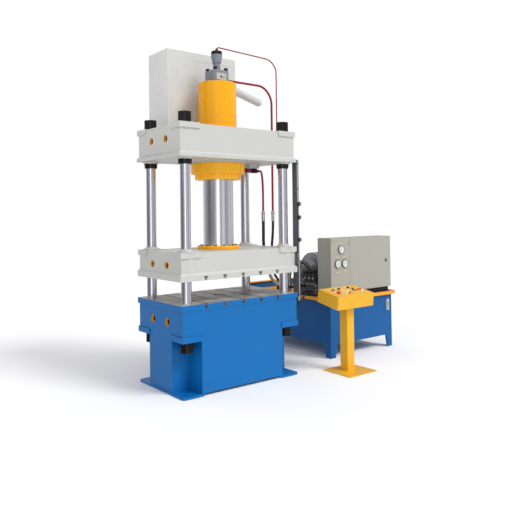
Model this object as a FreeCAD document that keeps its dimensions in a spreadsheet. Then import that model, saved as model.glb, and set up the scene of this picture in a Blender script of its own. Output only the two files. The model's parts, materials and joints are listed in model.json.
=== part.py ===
"""A four-column hydraulic press with its oil power unit and push-button console.

Millimetres, +Z up. The origin is on the ram's axis at floor level, +X runs along the
long front towards the power unit and +Y runs to the back.
"""

import FreeCAD
import Part
import math
import os
import re

import Sketcher

Vector = FreeCAD.Vector

# Driving dimensions, one block for each part of the machine.
SIZES = {
    # columns and their nuts
    "column_pitch_x": 1100, "column_pitch_y": 600, "column_radius": 45,
    "thread_radius": 42.5, "thread_clearance": 0.1, "column_hole_gap": 0.4,
    "column_end_recess": 6, "nut_radius": 60, "nut_flats": 112, "nut_height": 94,
    "collar_radius": 61, "collar_foot_radius": 57, "collar_height": 43,
    # base
    "base_end_margin": 86, "base_side_margin": 81, "base_wall": 25, "foot_thickness": 20,
    "base_pad_level": 467, "base_pad_thickness": 50, "base_pad_proud": 10,
    "waist_inset": 186, "foot_length": 225, "foot_margin": 8,
    "foot_corner": 28, "tie_plate_width": 200, "column_tube_radius": 68, "rod_hole_gap": 4,
    "anchor_end_inset": 54, "anchor_side_inset": 44, "anchor_radius": 11,
    "base_hole_level": 615, "base_hole_radius": 37, "lift_hole_pitch": 250,
    "lift_sleeve_length": 60, "lift_sleeve_wall": 6, "lift_bore_overrun": 30,
    # table and T-slots
    "table_end_margin": 103, "table_side_margin": 86, "table_thickness": 50, "table_level": 780,
    "slot_pitch": 200, "slot_neck": 22, "slot_head": 37, "slot_head_depth": 16,
    "slot_depth": 38, "ejector_hole_radius": 60,
    # crown
    "crown_level": 2032, "crown_height": 287, "beam_end_margin": 88, "beam_side_margin": 67,
    "beam_wall": 25, "flange_end_margin": 105, "flange_side_margin": 80, "crown_flange": 30,
    "flange_slope": 18, "pad_length": 206, "pad_width": 150, "pad_thickness": 50,
    "pad_proud": 12, "pad_rise": 6, "crown_boss_radius": 270, "crown_boss_height": 16,
    "column_boss_radius": 70, "column_boss_height": 17, "beam_hole_radius": 32,
    "crown_hole_rise": 169, "cylinder_tube_wall": 32, "rib_offset": 340,
    "support_start": 360, "support_end": 482, "support_width": 60,
    # slide
    "slide_level": 977, "slide_height": 239, "slide_flange": 50, "slide_hole_rise": 127,
    "guide_boss_radius": 75, "guide_boss_height": 14, "bush_radius": 58,
    "bush_running_gap": 0.06, "bush_seat_gap": 0.05, "bush_foot_inset": 2,
    "bush_top_inset": 1, "slide_core_radius": 200,
    "ram_up_travel": 420, "ram_down_travel": 100,
    # main cylinder and ram
    "barrel_radius": 182.5, "bore_radius": 152.5, "barrel_foot_level": 1918,
    "bore_top_gap": 10, "barrel_top_level": 2776, "shoulder_radius": 208,
    "shoulder_height": 28, "barrel_seat_gap": 0.4, "barrel_edge": 5,
    "valve_port_radius": 55, "lock_nut_wall": 71.5, "lock_nut_height": 98,
    "gland_wall": 35.5, "gland_height": 53, "spanner_slot_width": 10,
    "spanner_slot_depth": 4, "spanner_slots": 36, "ring_edge": 5,
    "ram_radius": 142.5, "ram_running_gap": 0.06, "guide_length": 60,
    "packing_height": 20, "piston_height": 70, "piston_running_gap": 0.08,
    "piston_groove": 14, "piston_groove_depth": 8, "stop_gap": 2,
    "ram_flange_radius": 201, "ram_flange_height": 34, "ring_seat_gap": 0.1,
    # filling tank on the crown
    "tank_half_length": 400, "tank_front": 240, "tank_depth": 362, "tank_height": 794,
    "tank_sheet": 5, "spout_radius": 42, "spout_reach": 344, "spout_drop": 97,
    "spout_level": 2825, "spout_setback": 60, "bracket_plate": 20, "bracket_depth": 110,
    "bracket_offset": 300, "bracket_foot": 30, "bracket_tip": 20, "duct_radius": 60,
    "duct_bore": 50, "duct_level": 2690,
    # prefill valve
    "valve_block_side": 177, "valve_block_height": 119, "valve_chamfer": 20,
    "valve_screw_pitch": 124, "valve_screw_radius": 19, "valve_screw_height": 28,
    "pressure_port_radius": 9, "pressure_port_depth": 29, "neck_radius": 34,
    "neck_height": 80, "cap_foot_radius": 42, "cap_radius": 55, "cap_height": 80,
    "cap_shoulder": 8, "cap_chamfer": 4, "cap_ring_radius": 52.5, "cap_ring_height": 33,
    "cap_ring_seat": 18, "nipple_radius": 9, "nipple_height": 14,
    # pipes and fittings
    "pipe_radius": 11, "pilot_radius": 6, "pipe_seat_gap": 0.2, "pressure_pipe_level": 2828,
    "pressure_pipe_gap": 29, "pressure_pipe_y": 10, "pressure_pipe_bend": 178,
    "return_pipe_level": 1967, "return_pipe_gap": 45, "return_pipe_y": 184,
    "return_elbow_x": 520, "return_elbow_bend": 70, "return_pipe_bend": 220,
    "ferrule_top_level": 1544, "ferrule_height": 78, "ferrule_wall": 3,
    "pilot_drop_x": 606, "pilot_drop_y": 158, "pilot_rise": 28, "pilot_fall": 78,
    "pilot_first_bend": 24, "pilot_bend": 140, "clamp_level": 2180, "clamp_height": 34,
    "clamp_reach": 22, "clamp_width": 50, "fitting_x": 430, "fitting_length": 52,
    "fitting_side": 42, "support_gap": 3, "pressure_hose_radius": 13,
    "return_hose_radius": 16, "ejector_hose_radius": 10,
    # ejector
    "ejector_radius": 80, "ejector_bore": 64, "ejector_flange_radius": 120,
    "ejector_flange_height": 25, "ejector_foot_level": 330, "ejector_cap": 20,
    "ejector_head": 45, "ejector_rod_radius": 50, "ejector_piston_height": 40,
    "ejector_travel": 150, "ejector_sink": 5, "ejector_port_offset": 40,
    "ejector_upper_port": 600, "ejector_lower_port": 430, "ejector_pipe_radius": 8,
    "ejector_pipe_seat": 14, "ejector_head_height": 14, "ejector_head_gap": 2,
    "bulkhead_radius": 15, "bulkhead_length": 62,
    # limit rail
    "rail_gap": 8, "rail_thickness": 25, "rail_depth": 68,
    "rail_foot_level": 700, "rail_top_level": 2060, "rail_wall": 4, "rail_spacer": 26,
    "spacer_inset": 6, "spacer_margin": 8, "small_corner": 4,
    "switch_radius": 20, "switch_height": 20, "switch_hub_radius": 9, "switch_hub_height": 4,
    "switch_inset": 15, "switch_low_level": 1286, "switch_mid_level": 1502,
    "switch_high_level": 1632, "trip_thickness": 16, "trip_overhang": 33,
    "trip_depth": 76, "trip_foot_rise": 76, "trip_height": 108,
    # oil tank of the power unit
    "oil_tank_x": 1306, "oil_tank_length": 1004, "oil_tank_front": 176,
    "oil_tank_width": 1356, "oil_tank_level": 138, "oil_tank_top": 600,
    "oil_tank_sheet": 6, "leg_top_width": 100, "leg_foot_width": 76, "leg_sheet": 10,
    "cover_overhang": 34, "cover_rim_level": 602, "cover_rim_top": 640,
    "cover_rim_wall": 14, "cover_plate": 10, "rear_guard_height": 60,
    "guard_lip_height": 12, "guard_lip_depth": 34, "fittings_y": 900, "breather_x": 2180,
    "breather_neck_radius": 34, "breather_neck_height": 40, "breather_radius": 46,
    "breather_height": 52, "filter_x": 1560, "filter_radius": 58, "filter_height": 70,
    "filter_lid_radius": 66, "filter_lid_height": 26, "filter_pipe_radius": 24,
    "filter_pipe_length": 150, "filter_pipe_rise": 40,
    # motor, pump and valves
    "motor_y": 345, "motor_level": 905, "motor_radius": 172, "motor_start": 1540,
    "motor_length": 440, "motor_shell": 12, "fan_cover_length": 74, "shaft_radius": 24,
    "motor_foot_inset": 50, "motor_foot_pitch": 260, "motor_foot_width": 90,
    "motor_foot_rise": 60, "terminal_inset": 120, "terminal_proud": 50,
    "terminal_depth": 110, "terminal_rise": 20, "terminal_height": 100,
    "bearing_gap": 0.05, "shaft_overhang": 70, "shaft_end_gap": 30, "rotor_air_gap": 40,
    "rotor_end_gap": 20, "fan_radius": 140, "fan_thickness": 26, "fan_gap": 12,
    "bell_radius": 118, "bell_length": 110, "bell_wall": 12, "bell_taper": 26,
    "pump_radius": 72, "pump_length": 96, "coupling_radius": 48, "coupling_length": 58,
    "coupling_setback": 4,
    "pump_head": 76, "pump_head_height": 196, "pump_pipe_x": 1382, "suction_radius": 24,
    "suction_boss": 18, "suction_boss_wall": 8, "suction_setback": 210,
    "suction_bend": 90, "delivery_radius": 12,
    "delivery_inset": 26,
    "manifold_x": 1330, "manifold_length": 140, "manifold_y": 60, "manifold_width": 275,
    "manifold_foot": 28, "manifold_foot_inset": 10, "manifold_foot_width": 30,
    "manifold_height": 140, "solenoid_width": 46, "solenoid_length": 170,
    "solenoid_height": 92, "solenoid_pitch": 58, "solenoid_margin": 8,
    "solenoid_overhang": 12, "hose_port_wall": 5, "hose_port_length": 26,
    # cabinet with the gauges
    "cabinet_x": 1324, "cabinet_length": 979, "cabinet_front": 176, "cabinet_depth": 198,
    "cabinet_level": 690, "cabinet_top": 1270, "cabinet_sheet": 3, "door_x": 1619,
    "door_thickness": 17.6, "door_gap": 0.4, "door_sheet": 3, "door_seam": 3,
    "door_frame": 22, "door_margin": 1, "plinth_inset": 12, "gauge_radius": 45, "gauge_rise": 14,
    "gauge_rim": 5, "gauge_recess": 9, "gauge_body_radius": 30, "gauge_body_depth": 30,
    "pointer_length": 30, "pointer_tail": 10, "pointer_width": 4, "pointer_hub": 5,
    "pointer_rise": 4, "pointer_hub_height": 3, "pointer_pin_length": 10, "pin_hole_depth": 10,
    "pointer_pin": 1.5, "glass_thickness": 1.6, "glass_inset": 1,
    "pointer_pin_gap": 0.05, "pointer_thickness": 1.2,
    "lock_radius": 13, "lock_shaft": 8, "lock_inset": 79, "lock_level": 994,
    "lock_head": 7, "lock_cam": 70, "lock_cam_gap": 1, "lock_cam_thickness": 4,
    "lock_gap": 0.05, "level_gauge_x": 2212, "level_gauge_depth": 14,
    "level_gauge_width": 40, "level_gauge_foot": 420, "level_gauge_height": 126,
    # console
    "console_x": 850, "console_length": 502, "console_front": 730, "console_back": 469,
    "console_front_top": 750, "console_back_top": 801, "console_front_foot": 622,
    "console_back_foot": 681, "console_toe": 15, "console_lean": 32, "console_sheet": 3,
    "post_x": 1110, "post_y": 590, "post_side": 100, "post_wall": 5,
    "stand_plate_length": 380, "stand_plate_width": 360, "stand_plate_y": 622, "stand_plate": 8,
    "stand_hole_pitch_x": 320, "stand_hole_pitch_y": 300, "stand_hole_radius": 6,
    "button_hole": 11, "button_gap": 0.1, "button_radius": 14, "button_height": 12,
    "button_travel": 4, "button_stem": 26, "mushroom_radius": 20, "mushroom_height": 13,
    "mushroom_rise": 8, "selector_height": 8, "selector_gap": 0.3, "lever_width": 8,
    "lever_length": 24, "lever_height": 12,
    # how far cutting tools run past a face, and joined pieces into each other
    "overrun": 1, "long_overrun": 50,
}

# Sizes that follow from the driving ones.
DERIVED = {
    "base_length": "(column_pitch_x + 2*base_end_margin)",
    "base_width": "(column_pitch_y + 2*base_side_margin)",
    "waist_length": "(base_length - 2*waist_inset)",
    "waist_width": "(base_width - 2*waist_inset)",
    "anchor_pitch_x": "(base_length + 2*foot_margin - 2*anchor_end_inset)",
    "anchor_pitch_y": "(base_width + 2*foot_margin - 2*anchor_side_inset)",
    "table_length": "(column_pitch_x + 2*table_end_margin)",
    "table_width": "(column_pitch_y + 2*table_side_margin)",
    "beam_length": "(column_pitch_x + 2*beam_end_margin)",
    "beam_width": "(column_pitch_y + 2*beam_side_margin)",
    "flange_length": "(column_pitch_x + 2*flange_end_margin)",
    "flange_width": "(column_pitch_y + 2*flange_side_margin)",
    "lock_nut_radius": "(barrel_radius + lock_nut_wall)",
    "gland_radius": "(barrel_radius + gland_wall)",
    "pressure_pipe_x": "(flange_length/2 + pressure_pipe_gap)",
    "return_pipe_x": "(flange_length/2 + return_pipe_gap)",
    "rail_x": "(flange_length/2 + rail_gap)",
    "rail_front": "(flange_width/2)",
    "lock_x": "(cabinet_x + cabinet_length - lock_inset)",
}

# The gauges' and buttons' places, named by what they are for.
GAUGE_PLACES = {"main": (1480, 1147), "return": (1425, 995), "ejector": (1533, 995)}
BUTTON_PLACES = {
    "green_button": (962, 548), "black_button_left": (1054, 536),
    "black_button_right": (1196, 526), "selector_switch": (1196, 608),
    "emergency_stop": (946, 640),
}

# Chosen points of the free hoses, from the press to the power unit's valve block.
PRESSURE_HOSE = [
    (684, 10, 1466), (684, 10, 1370), (694, 44, 1225), (720, 84, 1070), (768, 112, 930),
    (862, 150, 842), (985, 176, 776), (1110, 188, 734), (1218, 200, 740), (1304, 200, 740),
]
RETURN_HOSE = [
    (700, 184, 1466), (700, 184, 1370), (706, 194, 1235), (730, 200, 1085), (772, 206, 950),
    (845, 224, 842), (960, 262, 770), (1090, 280, 728), (1216, 260, 740), (1304, 260, 740),
]
EJECTOR_HOSE_FRONT = [
    (698, -40, 600), (775, -40, 600), (880, -24, 578), (992, 10, 574), (1112, 56, 616),
    (1212, 96, 684), (1304, 96, 684),
]
EJECTOR_HOSE_REAR = [
    (698, 40, 430), (778, 40, 430), (880, 54, 438), (985, 80, 474), (1072, 108, 542),
    (1138, 134, 628), (1214, 152, 684), (1304, 152, 684),
]
HOSES = {
    "pressure_hose": (PRESSURE_HOSE, "pressure_hose_radius"),
    "return_hose": (RETURN_HOSE, "return_hose_radius"),
    "ejector_hose_front": (EJECTOR_HOSE_FRONT, "ejector_hose_radius"),
    "ejector_hose_rear": (EJECTOR_HOSE_REAR, "ejector_hose_radius"),
}
BEND_SHARE = 0.45

doc = FreeCAD.newDocument("HydraulicPress")
sheet = doc.addObject("Spreadsheet::Sheet", "Sizes")
for row, (alias, size) in enumerate(SIZES.items(), start=1):
    sheet.set(f"A{row}", alias)
    sheet.set(f"B{row}", str(size))
    sheet.setAlias(f"B{row}", alias)
doc.recompute()

nodes = {}


def cells(expression):
    """The expression with each size's name pointing into the spreadsheet."""
    def cell(match):
        name = match.group(0)
        if name in DERIVED:
            return cells(DERIVED[name])
        return f"Sizes.{name}" if name in SIZES else name

    return re.sub(r"[a-z][a-z_]+", cell, str(expression))


def size_of(name):
    return float(sheet.evalExpression(cells(name)))


def bind(item, **properties):
    for name, expression in properties.items():
        item.setExpression(name, cells(expression))
    return item


def place(item, x, y, z):
    for axis, expression in zip("xyz", (x, y, z)):
        item.setExpression(f"Placement.Base.{axis}", cells(expression))
    return item


def node(name, item):
    item.Label = name
    nodes[name] = item
    return item


# Primitives and booleans -------------------------------------------------------------

def block(x_low, x_high, y_low, y_high, z_low, z_high):
    item = doc.addObject("Part::Box", "Block")
    bind(item, Length=f"({x_high}) - ({x_low})", Width=f"({y_high}) - ({y_low})",
         Height=f"({z_high}) - ({z_low})")
    return place(item, x_low, y_low, z_low)


def centred_block(length, width, z_low, z_high):
    return block(f"-({length})/2", f"({length})/2", f"-({width})/2", f"({width})/2",
                 z_low, z_high)


TURNS = {
    "+Z": FreeCAD.Rotation(Vector(0, 0, 1), 0),
    "+X": FreeCAD.Rotation(Vector(0, 1, 0), 90),
    "-X": FreeCAD.Rotation(Vector(0, 1, 0), -90),
    "+Y": FreeCAD.Rotation(Vector(1, 0, 0), -90),
    "-Y": FreeCAD.Rotation(Vector(1, 0, 0), 90),
}


def rod(radius, length, x, y, z, axis="+Z"):
    """A cylinder that starts at x, y, z and runs along the axis."""
    item = doc.addObject("Part::Cylinder", "Rod")
    bind(item, Radius=radius, Height=length)
    item.Placement = FreeCAD.Placement(Vector(), TURNS[axis])
    return place(item, x, y, z)


def taper(foot_radius, top_radius, length, x, y, z, axis="+Z"):
    item = doc.addObject("Part::Cone", "Taper")
    bind(item, Radius1=foot_radius, Radius2=top_radius, Height=length)
    item.Placement = FreeCAD.Placement(Vector(), TURNS[axis])
    return place(item, x, y, z)


def frustum(foot, top, z_low, z_high):
    """A block that narrows from its foot (length, width) to its top (length, width)."""
    item = doc.addObject("Part::Wedge", "Frustum")
    bind(item, Xmin=f"-({foot[0]})/2", Xmax=f"({foot[0]})/2", Ymin="0",
         Ymax=f"({z_high}) - ({z_low})", Zmin=f"-({foot[1]})/2", Zmax=f"({foot[1]})/2",
         X2min=f"-({top[0]})/2", X2max=f"({top[0]})/2", Z2min=f"-({top[1]})/2",
         Z2max=f"({top[1]})/2")
    item.Placement = FreeCAD.Placement(Vector(), FreeCAD.Rotation(Vector(1, 0, 0), 90))
    return place(item, "0", "0", z_low)


def joined(items):
    if len(items) == 1:
        return items[0]
    item = doc.addObject("Part::MultiFuse", "Joined")
    item.Shapes = items
    return item


def cut(base, tools):
    item = doc.addObject("Part::Cut", "Cut")
    item.Base = base
    item.Tool = joined(tools)
    return item


def common(first, second):
    item = doc.addObject("Part::MultiCommon", "Common")
    item.Shapes = [first, second]
    return item


def group(items):
    item = doc.addObject("Part::Compound", "Group")
    item.Links = items
    return item


def rounded(item, radius, test):
    """Fillets the edges whose middle and direction pass the test."""
    doc.recompute()
    picked = []
    for index, edge in enumerate(item.Shape.Edges, start=1):
        middle = edge.valueAt((edge.FirstParameter + edge.LastParameter) / 2)
        along = edge.tangentAt((edge.FirstParameter + edge.LastParameter) / 2)
        if test(middle, along):
            picked.append((index, size_of(radius), size_of(radius)))
    fillet = doc.addObject("Part::Fillet", "Rounded")
    fillet.Base = item
    fillet.Edges = picked
    return fillet


def is_upright(middle, along):
    return abs(along.z) > 0.99


def corners(pitch_x, pitch_y):
    """The four corner places of a rectangle about the ram's axis."""
    return [(f"{sign_x}*{pitch_x}/2", f"{sign_y}*{pitch_y}/2")
            for sign_x in (-1, 1) for sign_y in (-1, 1)]


COLUMN_PLACES = corners("column_pitch_x", "column_pitch_y")


# Bodies with sketches ----------------------------------------------------------------

def origin_plane(body, role):
    return next(part for part in body.Origin.OriginFeatures if part.Role == role)


def outline(body, role, points, offset="0"):
    """A closed sketch of straight edges, each corner bound to its two expressions."""
    sketch = body.newObject("Sketcher::SketchObject", "Outline")
    sketch.AttachmentSupport = (origin_plane(body, role), [""])
    sketch.MapMode = "FlatFace"
    sketch.setExpression("AttachmentOffset.Base.z", cells(offset))
    count = len(points)
    start = [Vector(math.cos(2 * math.pi * k / count), math.sin(2 * math.pi * k / count), 0)
             for k in range(count)]
    for k in range(count):
        sketch.addGeometry(Part.LineSegment(start[k] * 100, start[(k + 1) % count] * 100))
    for k in range(count):
        sketch.addConstraint(Sketcher.Constraint("Coincident", k, 2, (k + 1) % count, 1))
    for k, corner in enumerate(points):
        for letter, expression in zip("XY", corner):
            value = getattr(start[k] * 100, letter.lower())
            number = sketch.addConstraint(Sketcher.Constraint(f"Distance{letter}", k, 1, value))
            sketch.renameConstraint(number, f"corner{letter}{k}")
            sketch.setExpression(f"Constraints.corner{letter}{k}", cells(expression))
    return sketch


def turned(name, profile):
    """A body of revolution about its Z axis; the profile's corners are (radius, height)."""
    body = doc.addObject("PartDesign::Body", name)
    sketch = outline(body, "XZ_Plane", profile)
    revolution = body.newObject("PartDesign::Revolution", "Turned")
    revolution.Profile = sketch
    revolution.ReferenceAxis = (sketch, ["V_Axis"])
    revolution.Angle = 360
    return body


def padded(name, role, points, length, offset="0"):
    body = doc.addObject("PartDesign::Body", name)
    sketch = outline(body, role, points, offset)
    pad = body.newObject("PartDesign::Pad", "Padded")
    pad.Profile = sketch
    bind(pad, Length=length)
    return body


# Tubes along a route -----------------------------------------------------------------

def tangent_path(points, radii):
    """Straight runs joined by tangent arcs of the given radii, one for each inner point."""
    edges = []
    here = points[0]
    for before, corner, after, radius in zip(points, points[1:], points[2:], radii):
        inward = (corner - before).normalize()
        outward = (after - corner).normalize()
        turn = inward.getAngle(outward)
        reach = radius * math.tan(turn / 2)
        entry = corner - inward * reach
        leave = corner + outward * reach
        bisector = (outward - inward).normalize()
        middle = corner + bisector * (radius / math.cos(turn / 2) - radius)
        edges.append(Part.LineSegment(here, entry).toShape())
        edges.append(Part.Arc(entry, middle, leave).toShape())
        here = leave
    edges.append(Part.LineSegment(here, points[-1]).toShape())
    return Part.Wire(edges)


def swept(wire, points, radius):
    start = points[0]
    ring = Part.Wire(Part.makeCircle(radius, start, points[1] - start))
    return wire.makePipeShell([ring], True, False)


def pipe(points, bends, radius, bore=0):
    wire = tangent_path(points, bends)
    shape = swept(wire, points, radius)
    if bore:
        shape = shape.cut(swept(wire, points, bore))
    return shape


def hose(name, route, radius):
    """A free hose: each bend is as large as its two runs allow."""
    points = [Vector(*point) for point in route]
    bends = []
    for before, corner, after in zip(points, points[1:], points[2:]):
        turn = (corner - before).getAngle(after - corner)
        shorter = min((corner - before).Length, (after - corner).Length)
        bends.append(BEND_SHARE * shorter / math.tan(turn / 2))
    wire = tangent_path(points, bends)
    shape = swept(wire, points, radius)
    expected = math.pi * radius ** 2 * wire.Length
    print(f"{name}: length {wire.Length:.0f}, tightest bend {min(bends):.0f}, "
          f"volume ratio {shape.Volume / expected:.4f}")
    return solid_node(name, shape)


def solid_node(name, shape):
    item = doc.addObject("Part::Feature", name)
    item.Shape = shape
    item.Placement = FreeCAD.Placement()
    return node(name, item)


# Press frame -------------------------------------------------------------------------

def base_frame():
    pad_top = "(base_pad_level + base_pad_thickness)"
    top = "(table_level - table_thickness)"
    shell = [
        centred_block("base_length", "base_width", pad_top, top),
        centred_block("waist_length", "base_width", "foot_thickness", pad_top),
        centred_block("base_length", "waist_width", "foot_thickness", pad_top),
    ]
    pads = []
    for sign_x in (-1, 1):
        for sign_y in (-1, 1):
            x_far = f"{sign_x}*(base_length/2 + base_pad_proud)"
            y_far = f"{sign_y}*(base_width/2 + base_pad_proud)"
            x_near = f"{sign_x}*(waist_length/2 - base_pad_proud)"
            y_near = f"{sign_y}*(waist_width/2 - base_pad_proud)"
            xs = (x_far, x_near) if sign_x < 0 else (x_near, x_far)
            ys = (y_far, y_near) if sign_y < 0 else (y_near, y_far)
            pads.append(block(*xs, *ys, "base_pad_level", pad_top))
    hollow = [
        centred_block("base_length - 2*base_wall", "base_width - 2*base_wall",
                      pad_top, f"{top} - base_wall"),
        centred_block("waist_length - 2*base_wall", "base_width - 2*base_wall",
                      "foot_thickness", pad_top),
        centred_block("base_length - 2*base_wall", "waist_width - 2*base_wall",
                      "foot_thickness", pad_top),
    ]
    tubes = [rod("column_tube_radius", f"{top} - {pad_top}", x, y, pad_top)
             for x, y in COLUMN_PLACES]
    feet = []
    foot_width = "(base_width + 2*foot_margin)"
    for sign in (-1, 1):
        x_far = f"{sign}*(base_length/2 + foot_margin)"
        x_near = f"{sign}*(base_length/2 + foot_margin - foot_length)"
        xs = (x_far, x_near) if sign < 0 else (x_near, x_far)
        plate = block(*xs, f"-{foot_width}/2", f"{foot_width}/2", "0", "foot_thickness")
        feet.append(rounded(plate, "foot_corner", is_upright))
    tie_reach = "(base_length/2 + foot_margin - foot_length)"
    tie = block(f"-{tie_reach}", tie_reach, "-tie_plate_width/2", "tie_plate_width/2", "0",
                "foot_thickness")
    sleeves = lift_sleeves("base_length", "base_wall", "base_hole_level", "base_hole_radius")
    holes = [rod("column_radius + column_hole_gap", f"{top} - base_pad_level + 2*overrun", x, y,
                 "base_pad_level - overrun") for x, y in COLUMN_PLACES]
    holes.append(rod("ejector_rod_radius + rod_hole_gap", "base_wall + 2*overrun", "0", "0",
                     f"{top} - base_wall - overrun"))
    holes += lift_bores("base_length", "base_hole_level", "base_hole_radius")
    holes += [rod("anchor_radius", "foot_thickness + 2*overrun", x, y, "-overrun")
              for x, y in corners("anchor_pitch_x", "anchor_pitch_y")]
    for sign, level in ((-1, "ejector_upper_port"), (1, "ejector_lower_port")):
        holes.append(rod("ejector_pipe_radius + pipe_seat_gap", "base_wall + 2*overrun",
                         "base_length/2 - base_wall - overrun", f"{sign}*ejector_port_offset",
                         level, "+X"))
    walls = cut(joined(shell), hollow)
    node("base_frame", cut(joined([walls] + pads + tubes + feet + [tie] + sleeves), holes))


def lift_sleeves(length, wall, level, radius):
    """Short tubes behind the lifting holes in both end walls."""
    sleeves = []
    for sign_y in (-1, 1):
        y = f"{sign_y}*lift_hole_pitch/2"
        sleeves.append(rod(f"{radius} + lift_sleeve_wall", "lift_sleeve_length",
                           f"-{length}/2 + {wall}/2", y, level, "+X"))
        sleeves.append(rod(f"{radius} + lift_sleeve_wall", "lift_sleeve_length",
                           f"{length}/2 - {wall}/2", y, level, "-X"))
    return sleeves


def lift_bores(length, level, radius):
    bores = []
    for sign_y in (-1, 1):
        y = f"{sign_y}*lift_hole_pitch/2"
        bores.append(rod(radius, "lift_sleeve_length + 2*lift_bore_overrun",
                         f"-{length}/2 - lift_bore_overrun", y, level, "+X"))
        bores.append(rod(radius, "lift_sleeve_length + 2*lift_bore_overrun",
                         f"{length}/2 + lift_bore_overrun", y, level, "-X"))
    return bores


def slot_tools(mouth, sign, width):
    """T-slots that run front to back; the mouth is a level and sign is the way out."""
    tools = []
    for step in range(-2, 3):
        x = f"{step}*slot_pitch"
        levels = [f"{mouth} - {sign}*slot_depth", f"{mouth} + {sign}*overrun"]
        heads = [f"{mouth} - {sign}*slot_depth",
                 f"{mouth} - {sign}*(slot_depth - slot_head_depth)"]
        if sign < 0:
            levels.reverse()
            heads.reverse()
        for wide, span in (("slot_neck", levels), ("slot_head", heads)):
            tools.append(block(f"{x} - {wide}/2", f"{x} + {wide}/2", f"-{width}/2 - overrun",
                               f"{width}/2 + overrun", *span))
    return tools


def worktable():
    plate = centred_block("table_length", "table_width", "table_level - table_thickness",
                          "table_level")
    holes = slot_tools("table_level", 1, "table_width")
    holes += [rod("column_radius + column_hole_gap", "table_thickness + 2*overrun", x, y,
                  "table_level - table_thickness - overrun") for x, y in COLUMN_PLACES]
    holes.append(rod("ejector_hole_radius", "table_thickness + 2*overrun", "0", "0",
                     "table_level - table_thickness - overrun"))
    node("worktable", cut(plate, holes))


def columns():
    top = "crown_level + crown_height + pad_rise + nut_height - column_end_recess"
    foot = "base_pad_level - nut_height + column_end_recess"
    shoulder = "crown_level - column_boss_height - collar_height"
    bars = []
    for x, y in COLUMN_PLACES:
        body = rod("column_radius", f"{shoulder} - base_pad_level", x, y, "base_pad_level")
        upper = rod("thread_radius", f"{top} - ({shoulder})", x, y, shoulder)
        lower = rod("thread_radius", f"base_pad_level - ({foot})", x, y, foot)
        bars.append(joined([body, upper, lower]))
    node("columns", group(bars))


def column_nut(x, y, level):
    """A round nut with six flats."""
    prism = doc.addObject("Part::Prism", "Flats")
    prism.Polygon = 6
    bind(prism, Circumradius="nut_flats/2/cos(30)", Height="nut_height")
    place(prism, x, y, level)
    drum = rod("nut_radius", "nut_height", x, y, level)
    hole = rod("thread_radius + thread_clearance", "nut_height + 2*overrun", x, y,
               f"{level} - overrun")
    return cut(common(prism, drum), [hole])


def column_nuts():
    top = "crown_level + crown_height + pad_rise"
    foot = "base_pad_level - nut_height"
    node("upper_column_nuts", group([column_nut(x, y, top) for x, y in COLUMN_PLACES]))
    node("lower_column_nuts", group([column_nut(x, y, foot) for x, y in COLUMN_PLACES]))
    collars = []
    level = "crown_level - column_boss_height - collar_height"
    for x, y in COLUMN_PLACES:
        ring = taper("collar_foot_radius", "collar_radius", "collar_height", x, y, level)
        hole = rod("thread_radius + thread_clearance", "collar_height + 2*overrun", x, y,
                   f"{level} - overrun")
        collars.append(cut(ring, [hole]))
    node("crown_collars", group(collars))


def beam(level, height, flange):
    """The outer form that the crown and the slide share."""
    top = f"({level} + {height})"
    body = centred_block("beam_length", "beam_width", level, top)
    lip = centred_block("flange_length", "flange_width", level, f"{level} + {flange}")
    slope = frustum(("flange_length", "flange_width"), ("beam_length", "beam_width"),
                    f"{level} + {flange}", f"{level} + {flange} + flange_slope")
    pads = []
    for sign_x in (-1, 1):
        for sign_y in (-1, 1):
            x_far = f"{sign_x}*(beam_length/2 + pad_proud)"
            y_far = f"{sign_y}*(beam_width/2 + pad_proud)"
            x_near = f"{sign_x}*(beam_length/2 + pad_proud - pad_length)"
            y_near = f"{sign_y}*(beam_width/2 + pad_proud - pad_width)"
            xs = (x_far, x_near) if sign_x < 0 else (x_near, x_far)
            ys = (y_far, y_near) if sign_y < 0 else (y_near, y_far)
            pads.append(block(*xs, *ys, f"{top} + pad_rise - pad_thickness", f"{top} + pad_rise"))
    return [body, lip, slope] + pads


def beam_hollow(level, height, floor):
    return centred_block("beam_length - 2*beam_wall", "beam_width - 2*beam_wall",
                         f"{level} + {floor}", f"{level} + {height} - beam_wall")


def beam_ribs(level, height, floor):
    return [block(f"{sign}*rib_offset - beam_wall/2", f"{sign}*rib_offset + beam_wall/2",
                  "-beam_width/2 + beam_wall/2", "beam_width/2 - beam_wall/2",
                  f"{level} + {floor}/2", f"{level} + {height} - beam_wall/2")
            for sign in (-1, 1)]


def gusset(sign):
    """A plate behind the crown that carries the filling tank's overhang."""
    top = "crown_level + crown_height"
    back = "(tank_front + tank_depth)"
    wall = "(beam_width/2 - overrun)"
    return padded("Gusset", "YZ_Plane", [
        (wall, f"{top} - bracket_depth"), (f"{wall} + bracket_foot", f"{top} - bracket_depth"),
        (back, f"{top} - bracket_tip"), (back, top), (wall, top),
    ], "bracket_plate", f"{sign}*bracket_offset - bracket_plate/2")


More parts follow.
